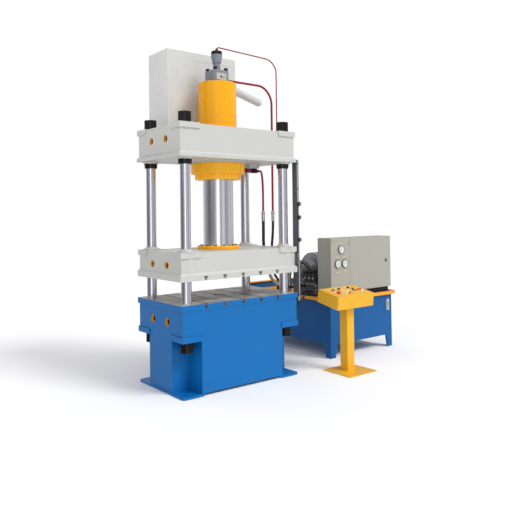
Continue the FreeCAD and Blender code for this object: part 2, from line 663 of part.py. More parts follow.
def crown():
    top = "(crown_level + crown_height)"
    walls = cut(joined(beam("crown_level", "crown_height", "crown_flange")),
                [beam_hollow("crown_level", "crown_height", "crown_flange")])
    inside = beam_ribs("crown_level", "crown_height", "crown_flange")
    inside.append(rod("barrel_radius + cylinder_tube_wall", "crown_height - 2*overrun", "0", "0",
                      "crown_level + overrun"))
    inside += [rod("column_tube_radius", "crown_height - 2*overrun", x, y, "crown_level + overrun")
               for x, y in COLUMN_PLACES]
    inside += lift_sleeves("beam_length", "beam_wall", "crown_level + crown_hole_rise",
                           "beam_hole_radius")
    bosses = [rod("crown_boss_radius", "crown_boss_height + overrun", "0", "0",
                  "crown_level - crown_boss_height")]
    bosses += [rod("column_boss_radius", "column_boss_height + overrun", x, y,
                   "crown_level - column_boss_height") for x, y in COLUMN_PLACES]
    support_foot = "return_pipe_level + fitting_side/2 + support_gap"
    bosses.append(block("support_start", "support_end", "-support_width/2", "support_width/2",
                        support_foot, "crown_level + overrun"))
    brackets = [gusset(sign) for sign in (-1, 1)]
    holes = [rod("barrel_radius + barrel_seat_gap", "crown_height + 2*long_overrun", "0", "0",
                 "crown_level - long_overrun")]
    holes += [rod("thread_radius + column_hole_gap", "crown_height + 2*long_overrun", x, y,
                  "crown_level - long_overrun") for x, y in COLUMN_PLACES]
    holes += lift_bores("beam_length", "crown_level + crown_hole_rise", "beam_hole_radius")
    node("crown", cut(joined([walls] + inside + bosses + brackets), holes))


def slide_block():
    mouth = "slide_level"
    walls = cut(joined(beam("slide_level", "slide_height", "slide_flange")),
                [beam_hollow("slide_level", "slide_height", "(slide_flange + flange_slope)")])
    inside = beam_ribs("slide_level", "slide_height", "slide_flange")
    inside.append(rod("slide_core_radius", "slide_height - slide_flange - 2*overrun", "0", "0",
                      "slide_level + slide_flange + overrun"))
    inside += [rod("guide_boss_radius", "slide_height - slide_flange + guide_boss_height", x, y,
                   "slide_level + slide_flange") for x, y in COLUMN_PLACES]
    inside += lift_sleeves("beam_length", "beam_wall", "slide_level + slide_hole_rise",
                           "beam_hole_radius")
    holes = slot_tools(mouth, -1, "flange_width")
    holes += [rod("bush_radius + bush_seat_gap", "slide_height + 2*long_overrun", x, y,
                  "slide_level - long_overrun") for x, y in COLUMN_PLACES]
    holes += lift_bores("beam_length", "slide_level + slide_hole_rise", "beam_hole_radius")
    node("slide_block", cut(joined([walls] + inside), holes))


def guide_bushes():
    bushes = []
    for x, y in COLUMN_PLACES:
        sleeve = rod("bush_radius",
                     "slide_height + guide_boss_height - bush_foot_inset - bush_top_inset", x, y,
                     "slide_level + bush_foot_inset")
        hole = rod("column_radius + bush_running_gap", "slide_height + 2*long_overrun", x, y,
                   "slide_level - long_overrun")
        bushes.append(cut(sleeve, [hole]))
    node("guide_bushes", group(bushes))


# Main cylinder -----------------------------------------------------------------------

PISTON_FOOT = ("(barrel_foot_level + guide_length + packing_height + stop_gap"
               " + ram_down_travel)")


def main_cylinder():
    seat = "crown_level + crown_height"
    bore_top = f"{PISTON_FOOT} + piston_height + ram_up_travel + bore_top_gap"
    body = turned("Barrel", [
        ("bore_radius", "barrel_foot_level"), ("barrel_radius", "barrel_foot_level"),
        ("barrel_radius", seat), ("shoulder_radius", seat),
        ("shoulder_radius", f"{seat} + shoulder_height"),
        ("barrel_radius", f"{seat} + shoulder_height"),
        ("barrel_radius", "barrel_top_level - barrel_edge"),
        ("barrel_radius - barrel_edge", "barrel_top_level"),
        ("valve_port_radius", "barrel_top_level"), ("valve_port_radius", bore_top),
        ("bore_radius", bore_top),
    ])
    port = rod("duct_bore", "barrel_radius + long_overrun", "0", "0", "duct_level", "+Y")
    node("main_cylinder", cut(body, [port]))


def spanner_slots(radius, level, height):
    slots = []
    for step in range(int(size_of("spanner_slots"))):
        slot = block("0", "spanner_slot_depth + long_overrun", "-spanner_slot_width/2",
                     "spanner_slot_width/2", f"{level} - overrun", f"{level} + {height} + overrun")
        turn = 360 / size_of("spanner_slots") * step
        slot.Placement = FreeCAD.Placement(Vector(), FreeCAD.Rotation(Vector(0, 0, 1), turn))
        slot.setExpression("Placement.Base.x", cells(f"({radius} - spanner_slot_depth)*cos({turn})"
                                                     f" + spanner_slot_width/2*sin({turn})"))
        slot.setExpression("Placement.Base.y", cells(f"({radius} - spanner_slot_depth)*sin({turn})"
                                                     f" - spanner_slot_width/2*cos({turn})"))
        slots.append(slot)
    return slots


def threaded_rings():
    bore = "barrel_radius + ring_seat_gap"
    top = "barrel_foot_level + lock_nut_height"
    nut = turned("LockNut", [
        (bore, "barrel_foot_level"), ("lock_nut_radius - ring_edge", "barrel_foot_level"),
        ("lock_nut_radius", "barrel_foot_level + ring_edge"),
        ("lock_nut_radius", f"{top} - ring_edge"), ("lock_nut_radius - ring_edge", top),
        (bore, top),
    ])
    node("cylinder_lock_nut", cut(nut, spanner_slots("lock_nut_radius", "barrel_foot_level",
                                                     "lock_nut_height")))
    rod_bore = "ram_radius + ram_running_gap"
    foot = "(barrel_foot_level - gland_height)"
    gland = turned("Gland", [
        (rod_bore, foot), ("gland_radius - ring_edge", foot),
        ("gland_radius", f"{foot} + ring_edge"), ("gland_radius", "barrel_foot_level"),
        (rod_bore, "barrel_foot_level"),
    ])
    node("gland_ring", cut(gland, spanner_slots("gland_radius", foot, "gland_height")))


def ram_guides():
    inner = "ram_radius + ram_running_gap"
    outer = "bore_radius - ring_seat_gap"
    bush_top = "barrel_foot_level + guide_length"
    node("ram_guide_bush", turned("GuideBush", [
        (inner, "barrel_foot_level"), (outer, "barrel_foot_level"), (outer, bush_top),
        (inner, bush_top)]))
    node("ram_packing", turned("Packing", [
        (inner, bush_top), (outer, bush_top), (outer, f"{bush_top} + packing_height"),
        (inner, f"{bush_top} + packing_height")]))


def ram():
    foot = "slide_level + slide_height"
    piston_foot = PISTON_FOOT
    groove_foot = f"{piston_foot} + piston_height/2 - piston_groove/2"
    rim = "bore_radius - piston_running_gap"
    groove = f"{rim} - piston_groove_depth"
    node("ram", turned("Ram", [
        ("0", foot), ("ram_radius", foot), ("ram_radius", piston_foot), (rim, piston_foot),
        (rim, groove_foot), (groove, groove_foot), (groove, f"{groove_foot} + piston_groove"),
        (rim, f"{groove_foot} + piston_groove"), (rim, f"{piston_foot} + piston_height"),
        ("0", f"{piston_foot} + piston_height"),
    ]))
    node("piston_seal", turned("PistonSeal", [
        (groove, groove_foot), (rim, groove_foot), (rim, f"{groove_foot} + piston_groove"),
        (groove, f"{groove_foot} + piston_groove")]))
    top = f"{foot} + ram_flange_height"
    node("ram_flange", turned("RamFlange", [
        ("ram_radius + ring_seat_gap", foot), ("ram_flange_radius", foot),
        ("ram_flange_radius", f"{top} - ring_edge"), ("ram_flange_radius - ring_edge", top),
        ("ram_radius + ring_seat_gap", top)]))


# Filling tank and prefill valve ------------------------------------------------------

def filling_tank():
    floor = "(crown_level + crown_height)"
    top = f"{floor} + tank_height"
    back = "(tank_front + tank_depth)"
    box = block("-tank_half_length", "tank_half_length", "tank_front", back, floor, top)
    case = rounded(box, "tank_sheet", is_upright)
    inner = block("-tank_half_length + tank_sheet", "tank_half_length - tank_sheet",
                  "tank_front + tank_sheet", f"{back} - tank_sheet", f"{floor} + tank_sheet",
                  f"{top} - tank_sheet")
    duct_hole = rod("duct_bore", "tank_sheet + 2*overrun", "0", "tank_front - overrun",
                    "duct_level", "+Y")
    # The front plate is a solid of its own, welded on round its edge.
    slab = block("-2*tank_half_length", "2*tank_half_length", "tank_front - overrun",
                 "tank_front + tank_sheet", f"{floor} - overrun", f"{top} + overrun")
    front = cut(common(case, slab), [duct_hole])
    node("filling_tank", group([cut(case, [inner, slab]), front]))


def spout():
    """A closed pipe stub that slopes down from the filling tank's right end."""
    across = "tank_front + spout_setback"
    pipe_run = rod("spout_radius", "sqrt(spout_reach^2 + spout_drop^2)", "tank_half_length",
                   across, "spout_level")
    slope = math.degrees(math.atan2(size_of("spout_drop"), size_of("spout_reach")))
    pipe_run.Placement = FreeCAD.Placement(pipe_run.Placement.Base,
                                           FreeCAD.Rotation(Vector(0, 1, 0), 90 + slope))
    root = doc.addObject("Part::Sphere", "SpoutRoot")
    tip = doc.addObject("Part::Sphere", "SpoutTip")
    for ball in (root, tip):
        bind(ball, Radius="spout_radius")
    place(root, "tank_half_length", across, "spout_level")
    place(tip, "tank_half_length + spout_reach", across, "spout_level - spout_drop")
    wall = block("-tank_half_length", "tank_half_length", "tank_front",
                 "tank_front + tank_depth", "crown_level + crown_height",
                 "crown_level + crown_height + tank_height")
    return cut(joined([root, pipe_run, tip]), [wall])


def filling_duct():
    outer = rod("duct_radius", "tank_front - barrel_radius/2", "0", "barrel_radius/2",
                "duct_level", "+Y")
    inner = rod("duct_bore", "tank_front", "0", "0", "duct_level", "+Y")
    saddle = rod("barrel_radius + ring_seat_gap", "4*duct_radius", "0", "0",
                 "duct_level - 2*duct_radius")
    node("filling_duct", group([cut(outer, [inner, saddle]), spout()]))


def prefill_valve():
    half = "valve_block_side/2"
    near = f"({half} - valve_chamfer)"
    points = [(f"-{half}", f"-{near}"), (f"-{near}", f"-{half}"), (near, f"-{half}"),
              (half, f"-{near}"), (half, near), (near, half), (f"-{near}", half),
              (f"-{half}", near)]
    block_body = padded("ValveBlock", "XY_Plane", points, "valve_block_height",
                        "barrel_top_level")
    port = rod("pressure_port_radius", "pressure_port_depth + overrun",
               "valve_block_side/2 - pressure_port_depth", "pressure_pipe_y",
               "pressure_pipe_level", "+X")
    node("prefill_valve", cut(block_body, [port]))
    level = "(barrel_top_level + valve_block_height)"
    cap_foot = f"({level} + neck_height)"
    cap_top = f"({cap_foot} + cap_height)"
    ring_top = f"({cap_top} + cap_ring_height)"
    node("pilot_cap", turned("PilotCap", [
        ("0", level), ("neck_radius", level), ("neck_radius", cap_foot),
        ("cap_foot_radius", cap_foot), ("cap_radius", f"{cap_top} - cap_shoulder"),
        ("cap_radius - cap_chamfer", cap_top), ("cap_ring_seat", cap_top),
        ("cap_ring_seat", ring_top), ("nipple_radius", ring_top),
        ("nipple_radius", f"{ring_top} + nipple_height"), ("0", f"{ring_top} + nipple_height")]))
    fasteners = [rod("valve_screw_radius", "valve_screw_height", x, y, level)
                 for x, y in corners("valve_screw_pitch", "valve_screw_pitch")]
    fasteners.append(turned("CapRing", [
        ("cap_ring_seat + ring_seat_gap", cap_top), ("cap_ring_radius", cap_top),
        ("cap_ring_radius", f"{ring_top} - ring_edge"),
        ("cap_ring_radius - ring_edge", ring_top),
        ("cap_ring_seat + ring_seat_gap", ring_top)]))
    node("valve_fasteners", group(fasteners))


# Pipes and hoses ---------------------------------------------------------------------

def pilot_line():
    start = (size_of("barrel_top_level") + size_of("valve_block_height") + size_of("neck_height")
             + size_of("cap_height") + size_of("cap_ring_height") + size_of("nipple_height"))
    x = size_of("pilot_drop_x")
    y = -size_of("pilot_drop_y")
    crown_top = size_of("crown_level") + size_of("crown_height")
    corner = start + size_of("pilot_rise")
    points = [Vector(0, 0, start), Vector(0, 0, corner),
              Vector(x, y, corner - size_of("pilot_fall")), Vector(x, y, crown_top)]
    bends = [size_of("pilot_first_bend"), size_of("pilot_bend")]
    solid_node("pilot_line", pipe(points, bends, size_of("pilot_radius")))


def pressure_pipe():
    y = size_of("pressure_pipe_y")
    level = size_of("pressure_pipe_level")
    x = size_of("pressure_pipe_x")
    points = [Vector(size_of("valve_block_side") / 2, y, level), Vector(x, y, level),
              Vector(x, y, size_of("ferrule_top_level"))]
    solid_node("pressure_pipe", pipe(points, [size_of("pressure_pipe_bend")],
                                     size_of("pipe_radius")))


def return_pipe():
    level = size_of("return_pipe_level")
    x = size_of("return_pipe_x")
    y = size_of("return_pipe_y")
    start = size_of("lock_nut_radius")
    points = [Vector(start, 0, level), Vector(size_of("return_elbow_x"), 0, level),
              Vector(x, y, level), Vector(x, y, size_of("ferrule_top_level"))]
    bends = [size_of("return_elbow_bend"), size_of("return_pipe_bend")]
    solid_node("return_pipe", pipe(points, bends, size_of("pipe_radius")))


def pipe_fittings():
    """The elbow block below the crown, the clamp on its end and the hoses' ferrules."""
    gap = "pipe_radius + pipe_seat_gap"
    half = "fitting_side/2"
    fitting = block("fitting_x - fitting_length/2", "fitting_x + fitting_length/2", f"-{half}",
                    half, f"return_pipe_level - {half}", f"return_pipe_level + {half}")
    fitting = cut(fitting, [rod(gap, "fitting_length + 2*overrun",
                                "fitting_x - fitting_length/2 - overrun", "0",
                                "return_pipe_level", "+X")])
    clamp = block("beam_length/2", "pressure_pipe_x + clamp_reach",
                  "pressure_pipe_y - clamp_width/2", "pressure_pipe_y + clamp_width/2",
                  "clamp_level", "clamp_level + clamp_height")
    clamp = cut(clamp, [rod(gap, "clamp_height + 2*overrun", "pressure_pipe_x", "pressure_pipe_y",
                            "clamp_level - overrun")])
    foot = "ferrule_top_level - ferrule_height"
    ferrules = [rod(f"{line}_hose_radius + ferrule_wall", "ferrule_height", f"{line}_pipe_x",
                    f"{line}_pipe_y", foot) for line in ("pressure", "return")]
    node("pipe_fittings", group([fitting, clamp] + ferrules))


def hoses():
    for name, (route, radius) in HOSES.items():
        hose(name, route, size_of(radius))


# Ejector -----------------------------------------------------------------------------

def ejector():
    top = "(table_level - table_thickness - base_wall)"
    bore_top = f"{top} - ejector_head"
    body = turned("EjectorBarrel", [
        ("0", "ejector_foot_level"), ("ejector_radius", "ejector_foot_level"),
        ("ejector_radius", f"{top} - ejector_flange_height"),
        ("ejector_flange_radius", f"{top} - ejector_flange_height"),
        ("ejector_flange_radius", top), ("ejector_rod_radius + bush_running_gap", top),
        ("ejector_rod_radius + bush_running_gap", bore_top), ("ejector_bore", bore_top),
        ("ejector_bore", "ejector_foot_level + ejector_cap"),
        ("0", "ejector_foot_level + ejector_cap")])
    pipes = []
    for sign, level in ((-1, "ejector_upper_port"), (1, "ejector_lower_port")):
        pipes.append(rod("ejector_pipe_radius",
                         "base_length/2 + bulkhead_length - ejector_radius + ejector_pipe_seat",
                         "ejector_radius - ejector_pipe_seat", f"{sign}*ejector_port_offset",
                         level, "+X"))
        pipes.append(rod("bulkhead_radius", "bulkhead_length", "base_length/2",
                         f"{sign}*ejector_port_offset", level, "+X"))
    hollow = rod("ejector_bore", "ejector_travel", "0", "0", "ejector_foot_level + ejector_cap")
    node("ejector_cylinder", joined([body] + [cut(joined(pipes), [hollow])]))
    rim = "ejector_bore - bush_running_gap"
    foot = "(ejector_foot_level + ejector_cap + stop_gap)"
    head_foot = "table_level - ejector_sink - ejector_head_height"
    node("ejector_rod", turned("EjectorRod", [
        ("0", foot), (rim, foot), (rim, f"{foot} + ejector_piston_height"),
        ("ejector_rod_radius", f"{foot} + ejector_piston_height"),
        ("ejector_rod_radius", head_foot), ("ejector_hole_radius - ejector_head_gap", head_foot),
        ("ejector_hole_radius - ejector_head_gap", "table_level - ejector_sink"),
        ("0", "table_level - ejector_sink")]))


# Limit rail --------------------------------------------------------------------------

def limit_rail():
    x_far = "rail_x + rail_thickness"
    rail = block("rail_x", x_far, "-rail_front", "rail_depth - rail_front", "rail_foot_level",
                 "rail_top_level")
    hollow = block("rail_x + rail_wall", f"{x_far} + overrun", "rail_wall - rail_front",
                   "rail_depth - rail_front - rail_wall", "rail_foot_level - overrun",
                   "rail_top_level + overrun")
    spacers = [
        block("flange_length/2", "rail_x + overrun", "spacer_inset - rail_front",
              "rail_depth - rail_front - spacer_inset", "rail_top_level - rail_spacer",
              "rail_top_level - overrun"),
        block("table_length/2", "rail_x + overrun", "spacer_inset - rail_front",
              "rail_depth - rail_front - spacer_inset",
              "table_level - table_thickness + spacer_margin", "table_level - spacer_margin"),
    ]
    node("limit_rail", joined([cut(rail, [hollow])] + spacers))
    x = "rail_x + switch_inset"
    switches = []
    for level in ("switch_low_level", "switch_mid_level", "switch_high_level"):
        drum = rod("switch_radius", "switch_height", x, "-rail_front", level, "-Y")
        hub = rod("switch_hub_radius", "switch_height + switch_hub_height", x, "-rail_front",
                  level, "-Y")
        switches.append(joined([drum, hub]))
    node("limit_switches", group(switches))
    wall = "beam_length/2"
    foot = "slide_level + trip_foot_rise"
    y_front = "-(beam_width/2 + trip_overhang)"
    node("trip_bracket", rounded(block(wall, f"{wall} + trip_thickness", y_front,
                                       f"{y_front} + trip_depth", foot, f"{foot} + trip_height"),
                                 "small_corner", lambda middle, along: abs(along.x) > 0.99))


# Power unit --------------------------------------------------------------------------

def oil_tank():
    x_far = "(oil_tank_x + oil_tank_length)"
    y_near = "-oil_tank_front"
    y_far = "(oil_tank_width - oil_tank_front)"
    shell = block("oil_tank_x", x_far, y_near, y_far, "oil_tank_level", "oil_tank_top")
    inner = block("oil_tank_x + oil_tank_sheet", f"{x_far} - oil_tank_sheet",
                  f"{y_near} + oil_tank_sheet", f"{y_far} - oil_tank_sheet",
                  "oil_tank_level + oil_tank_sheet", "oil_tank_top + overrun")
    legs = []
    for left in (True, False):
        for front in (True, False):
            x = "oil_tank_x" if left else x_far
            y = y_near if front else y_far
            across = 1 if left else -1
            deep = 1 if front else -1
            depth_step = (deep + 1) // 2
            length_step = (1 - across) // 2
            legs.append(leg_plate("XZ_Plane", x, across, f"-({y}) - leg_sheet*{depth_step}"))
            legs.append(leg_plate("YZ_Plane", y, deep, f"{x} - leg_sheet*{length_step}"))
    node("oil_tank", joined([cut(shell, [inner])] + legs))


def leg_plate(role, edge, way, offset):
    """One tapered side of an L-shaped leg, drawn from the tank's corner edge."""
    top = "oil_tank_level + oil_tank_sheet/2"
    points = [(edge, "0"), (edge, top), (f"{edge} + {way}*leg_top_width", top),
              (f"{edge} + {way}*leg_foot_width", "0")]
    return padded("LegPlate", role, points, "leg_sheet", offset)


def tank_cover():
    x_low = "oil_tank_x - cover_overhang"
    x_high = "oil_tank_x + oil_tank_length + cover_overhang"
    y_low = "-(oil_tank_front + cover_overhang)"
    y_high = "oil_tank_width - oil_tank_front + cover_overhang"
    frame = rounded(block(x_low, x_high, y_low, y_high, "cover_rim_level", "cover_rim_top"),
                    "cover_rim_wall", is_upright)
    tray = block(f"{x_low} + cover_rim_wall", f"{x_high} - cover_rim_wall",
                 f"{y_low} + cover_rim_wall", f"{y_high} - cover_rim_wall",
                 "cover_rim_level + cover_plate", "cover_rim_top + overrun")
    seat = block("oil_tank_x", "oil_tank_x + oil_tank_length", "-oil_tank_front",
                 "oil_tank_width - oil_tank_front", "oil_tank_top", "cover_rim_level + overrun")
    guard_top = "cover_rim_top + rear_guard_height"
    guard = block(f"{x_low} + cover_rim_wall", f"{x_high} - cover_rim_wall",
                  f"{y_high} - cover_rim_wall", y_high, "cover_rim_top - 2*overrun", guard_top)
    lip = block(f"{x_low} + cover_rim_wall", f"{x_high} - cover_rim_wall",
                f"{y_high} - guard_lip_depth", y_high, f"{guard_top} - guard_lip_height",
                guard_top)
    node("tank_cover", joined([cut(frame, [tray]), seat, guard, lip]))
    x = "level_gauge_x"
    body = block(x, f"{x} + level_gauge_width", "-oil_tank_front - level_gauge_depth",
                 "-oil_tank_front", "level_gauge_foot", "level_gauge_foot + level_gauge_height")
    node("level_gauge", rounded(body, "small_corner", lambda middle, along: abs(along.y) > 0.99))


FLOOR = "(cover_rim_level + cover_plate)"


def tank_fittings():
    """The filler breather and the return filter that stand on the tank's cover."""
    breather = [rod("breather_neck_radius", "breather_neck_height", "breather_x", "fittings_y",
                    FLOOR),
                rod("breather_radius", "breather_height", "breather_x", "fittings_y",
                    f"{FLOOR} + breather_neck_height")]
    filter_body = [rod("filter_radius", "filter_height", "filter_x", "fittings_y", FLOOR),
                   rod("filter_lid_radius", "filter_lid_height", "filter_x", "fittings_y",
                       f"{FLOOR} + filter_height"),
                   rod("filter_pipe_radius", "filter_pipe_length", "filter_x", "fittings_y",
                       f"{FLOOR} + filter_pipe_rise", "+X")]
    node("tank_fittings", group([joined(breather), joined(filter_body)]))


def motor():
    end = "(motor_start + motor_length)"
    y = "motor_y"
    z = "motor_level"
    shell = rod("motor_radius", "motor_length + fan_cover_length", "motor_start", y, z, "+X")
    inner = rod("motor_radius - motor_shell", "motor_length - 2*motor_shell",
                "motor_start + motor_shell", y, z, "+X")
    fan_room = rod("motor_radius - motor_shell/2", "fan_cover_length - motor_shell/2", end, y,
                   z, "+X")
    bearing = rod("shaft_radius + bearing_gap", "motor_length + 2*overrun",
                  "motor_start - overrun", y, z, "+X")
    feet = []
    for side in (-1, 1):
        middle = f"({y} + {side}*motor_foot_pitch/2)"
        feet.append(block("motor_start + motor_foot_inset", f"{end} - motor_foot_inset",
                          f"{middle} - motor_foot_width/2", f"{middle} + motor_foot_width/2",
                          FLOOR, f"{z} - motor_radius + motor_foot_rise"))
    box_front = f"({y} - motor_radius - terminal_proud)"
    box = block("motor_start + terminal_inset", f"{end} - terminal_inset", box_front,
                f"{box_front} + terminal_depth", f"{z} + terminal_rise",
                f"{z} + terminal_rise + terminal_height")
    body = cut(joined([shell] + feet + [box]), [inner, fan_room, bearing])
    node("motor_housing", body)
    overhang = "shaft_overhang"
    shaft = rod("shaft_radius", f"motor_length + {overhang} + fan_cover_length - shaft_end_gap",
                f"motor_start - {overhang}", y, z, "+X")
    core = rod("motor_radius - motor_shell - rotor_air_gap",
               "motor_length - 2*motor_shell - 2*rotor_end_gap",
               "motor_start + motor_shell + rotor_end_gap", y, z, "+X")
    fan = rod("fan_radius", "fan_thickness", f"{end} + fan_gap", y, z, "+X")
    coupling = rod("coupling_radius", "coupling_length",
                   f"motor_start - {overhang} + coupling_setback", y, z, "+X")
    node("motor_rotor", joined([shaft, core, fan, coupling]))


def pump():
    y = "motor_y"
    z = "motor_level"
    start = "(motor_start - bell_length)"
    bell = taper("bell_radius - bell_taper", "bell_radius", "bell_length", start, y, z, "+X")
    bell_room = taper("bell_radius - bell_taper - bell_wall", "bell_radius - bell_wall",
                      "bell_length - bell_wall", f"{start} + bell_wall", y, z, "+X")
    body = rod("pump_radius", "pump_length", f"{start} - pump_length", y, z, "+X")
    head = block("pump_pipe_x - pump_head/2", "pump_pipe_x + pump_head/2", f"{y} - pump_head/2",
                 f"{y} + pump_head/2", f"{z} - pump_head_height/2", f"{z} + pump_head_height/2")
    port = rod("suction_radius + suction_boss_wall", "pump_radius + suction_boss",
               "pump_pipe_x", y, z, "+Y")
    node("pump", joined([cut(bell, [bell_room]), body, head, port]))


def manifold():
    x_far = "(manifold_x + manifold_length)"
    y_far = "(manifold_y + manifold_width)"
    foot = f"({FLOOR} + manifold_foot)"
    top = f"({foot} + manifold_height)"
    body = [block("manifold_x", x_far, "manifold_y", y_far, foot, top)]
    for y in ("manifold_y + manifold_foot_inset",
              f"{y_far} - manifold_foot_inset - manifold_foot_width"):
        body.append(block("manifold_x + manifold_foot_inset", f"{x_far} - manifold_foot_inset",
                          y, f"{y} + manifold_foot_width", FLOOR, f"{foot} + overrun"))
    for route, radius in HOSES.values():
        _, y, z = route[-1]
        body.append(rod(f"{radius} + hose_port_wall", "hose_port_length + overrun",
                        "manifold_x + overrun", y, z, "-X"))
    node("valve_manifold", joined(body))
    valves = []
    for step in range(3):
        x = "manifold_x - solenoid_overhang"
        y = f"manifold_y + solenoid_margin + {step}*solenoid_pitch"
        valves.append(rounded(block(x, f"{x} + solenoid_length", y, f"{y} + solenoid_width",
                                    top, f"{top} + solenoid_height"),
                              "small_corner", lambda middle, along: abs(along.x) > 0.99))
    node("solenoid_valves", group(valves))


def pump_pipes():
    """The suction pipe into the tank and the delivery nipple to the valve block."""
    x = size_of("pump_pipe_x")
    y = size_of("motor_y")
    level = size_of("motor_level")
    floor = size_of("cover_rim_level") + size_of("cover_plate")
    mouth = y + size_of("pump_radius") + size_of("suction_boss")
    drop_y = y + size_of("suction_setback")
    suction = pipe([Vector(x, mouth, level), Vector(x, drop_y, level), Vector(x, drop_y, floor)],
                   [size_of("suction_bend")], size_of("suction_radius"))
    foot = floor + size_of("manifold_foot") + size_of("manifold_height")
    delivery = Part.makeCylinder(size_of("delivery_radius"),
                                 level - size_of("pump_head_height") / 2 - foot,
                                 Vector(x, y - size_of("delivery_inset"), foot))
    solid_node("pump_pipes", Part.makeCompound([suction, delivery]))


# Cabinet and gauges ------------------------------------------------------------------

def cabinet():
    x_far = "(cabinet_x + cabinet_length)"
    face = "-cabinet_front"
    front = f"({face} + door_thickness + door_gap)"
    back = f"({face} + cabinet_depth)"
    shell = block("cabinet_x", x_far, front, back, "cabinet_level", "cabinet_top")
    inner = block("cabinet_x + cabinet_sheet", f"{x_far} - cabinet_sheet",
                  f"{front} + cabinet_sheet", f"{back} - cabinet_sheet",
                  "cabinet_level + cabinet_sheet", "cabinet_top - cabinet_sheet")
    panel = block("cabinet_x", "door_x - door_seam", face, f"{front} + overrun", "cabinet_level",
                  "cabinet_top")
    doorway = block("door_x + door_frame", f"{x_far} - door_frame", f"{front} - overrun",
                    f"{front} + cabinet_sheet + overrun", "cabinet_level + door_frame",
                    "cabinet_top - door_frame")
    plinth = block("cabinet_x + plinth_inset", f"{x_far} - plinth_inset",
                   f"{front} + plinth_inset", f"{back} - plinth_inset", FLOOR,
                   "cabinet_level + overrun")
    holes = [rod("gauge_body_radius + button_gap", "long_overrun", x, f"{face} - overrun", z, "+Y")
             for x, z in GAUGE_PLACES.values()]
    walls = cut(joined([shell, panel]), [inner, doorway])
    node("cabinet", cut(joined([walls, plinth]), holes))
    door_back = f"({face} + door_thickness)"
    skin = block("door_x", x_far, face, door_back, "cabinet_level + door_margin",
                 "cabinet_top - door_margin")
    room = block("door_x + door_sheet", f"{x_far} - door_sheet", f"{face} + door_sheet",
                 f"{door_back} + overrun", "cabinet_level + door_margin + door_sheet",
                 "cabinet_top - door_margin - door_sheet")
    lock_hole = rod("lock_shaft + lock_gap", "door_sheet + 2*overrun", "lock_x",
                    f"{face} - overrun", "lock_level", "+Y")
    node("cabinet_door", cut(cut(skin, [room]), [lock_hole]))
    head = rod("lock_radius", "lock_head", "lock_x", f"{face} - lock_gap", "lock_level", "-Y")
    cam_depth = "(door_thickness + door_gap + cabinet_sheet + lock_cam_gap)"
    cam_y = f"{face} + {cam_depth}"
    shaft = rod("lock_shaft", f"{cam_depth} + lock_cam_thickness + overrun", "lock_x",
                f"{face} - overrun", "lock_level", "+Y")
    cam = block("lock_x - lock_shaft", "lock_x + lock_shaft", cam_y,
                f"{cam_y} + lock_cam_thickness", "lock_level - lock_cam",
                "lock_level + lock_shaft")
    node("door_lock", joined([head, shaft, cam]))


def gauges():
    face = "-cabinet_front"
    cases = []
    for x, z in GAUGE_PLACES.values():
        rim = rod("gauge_radius", "gauge_rise", x, face, z, "-Y")
        dish = rod("gauge_radius - gauge_rim", "gauge_recess + overrun", x,
                   f"{face} - gauge_rise + gauge_recess", z, "-Y")
        pin_hole = rod("pointer_pin + pointer_pin_gap", "pin_hole_depth + gauge_rise + overrun", x,
                       f"{face} + pin_hole_depth", z, "-Y")
        back = rod("gauge_body_radius", "gauge_body_depth", x, face, z, "+Y")
        cases.append(cut(joined([rim, back]), [dish, pin_hole]))
    node("pressure_gauges", group(cases))
    node("gauge_glasses", group([
        rod("gauge_radius - gauge_rim - ring_seat_gap", "glass_thickness", x,
            f"{face} - gauge_rise + glass_inset", z, "+Y") for x, z in GAUGE_PLACES.values()]))
    dial = f"({face} - gauge_rise + gauge_recess)"
    lean = FreeCAD.Rotation(Vector(0, 1, 0), -135)
    for name, (x, z) in GAUGE_PLACES.items():
        front = f"({dial} - pointer_rise)"
        hub = rod("pointer_hub", "pointer_hub_height", x, front, z, "+Y")
        pin = rod("pointer_pin", "pointer_pin_length", x, front, z, "+Y")
        blade = block("-pointer_width/2", "pointer_width/2", front,
                      f"{front} + pointer_thickness", "-pointer_tail", "pointer_length")
        turned_blade = doc.addObject("Part::Compound", "Blade")
        turned_blade.Links = [blade]
        turned_blade.Placement = FreeCAD.Placement(Vector(x, 0, z), lean)
        node(f"gauge_pointer_{name}", joined([hub, pin, turned_blade]))


# Console -----------------------------------------------------------------------------

def underside_level(y):
    """The height of the console's sloping underside at a distance in front of the ram's axis."""
    return (f"(console_front_foot + (console_back_foot - console_front_foot)"
            f"*(console_front - console_toe - ({y}))"
            f"/(console_front - console_toe - console_back + console_lean))")


def square_post(name, half, foot, extra):
    """An upright square bar whose head follows the console's underside."""
    front, back = f"post_y + {half}", f"post_y - {half}"
    return padded(name, "YZ_Plane", [
        (f"-({front})", foot), (f"-({back})", foot),
        (f"-({back})", f"{underside_level(back)} + {extra}"),
        (f"-({front})", f"{underside_level(front)} + {extra}"),
    ], f"2*{half}", f"post_x - {half}")


def console_stand():
    plate = rounded(block("post_x - stand_plate_length/2", "post_x + stand_plate_length/2",
                          "-stand_plate_y - stand_plate_width/2",
                          "-stand_plate_y + stand_plate_width/2", "0", "stand_plate"),
                    "stand_plate", is_upright)
    post = rounded(square_post("Post", "(post_side/2)", "stand_plate - overrun", "0"),
                   "stand_plate", is_upright)
    hollow = square_post("PostBore", "(post_side/2 - post_wall)", "stand_plate", "overrun")
    holes = [rod("stand_hole_radius", "stand_plate + 2*overrun",
                 f"post_x + {sx}*stand_hole_pitch_x/2",
                 f"-stand_plate_y + {sy}*stand_hole_pitch_y/2", "-overrun")
             for sx in (-1, 1) for sy in (-1, 1)]
    node("console_stand", cut(joined([plate, cut(post, [hollow])]), holes))


def panel_normal():
    """The slope of the console's top, as an angle about the X axis."""
    rise = size_of("console_back_top") - size_of("console_front_top")
    run = size_of("console_front") - size_of("console_back")
    return math.degrees(math.atan2(rise, run))


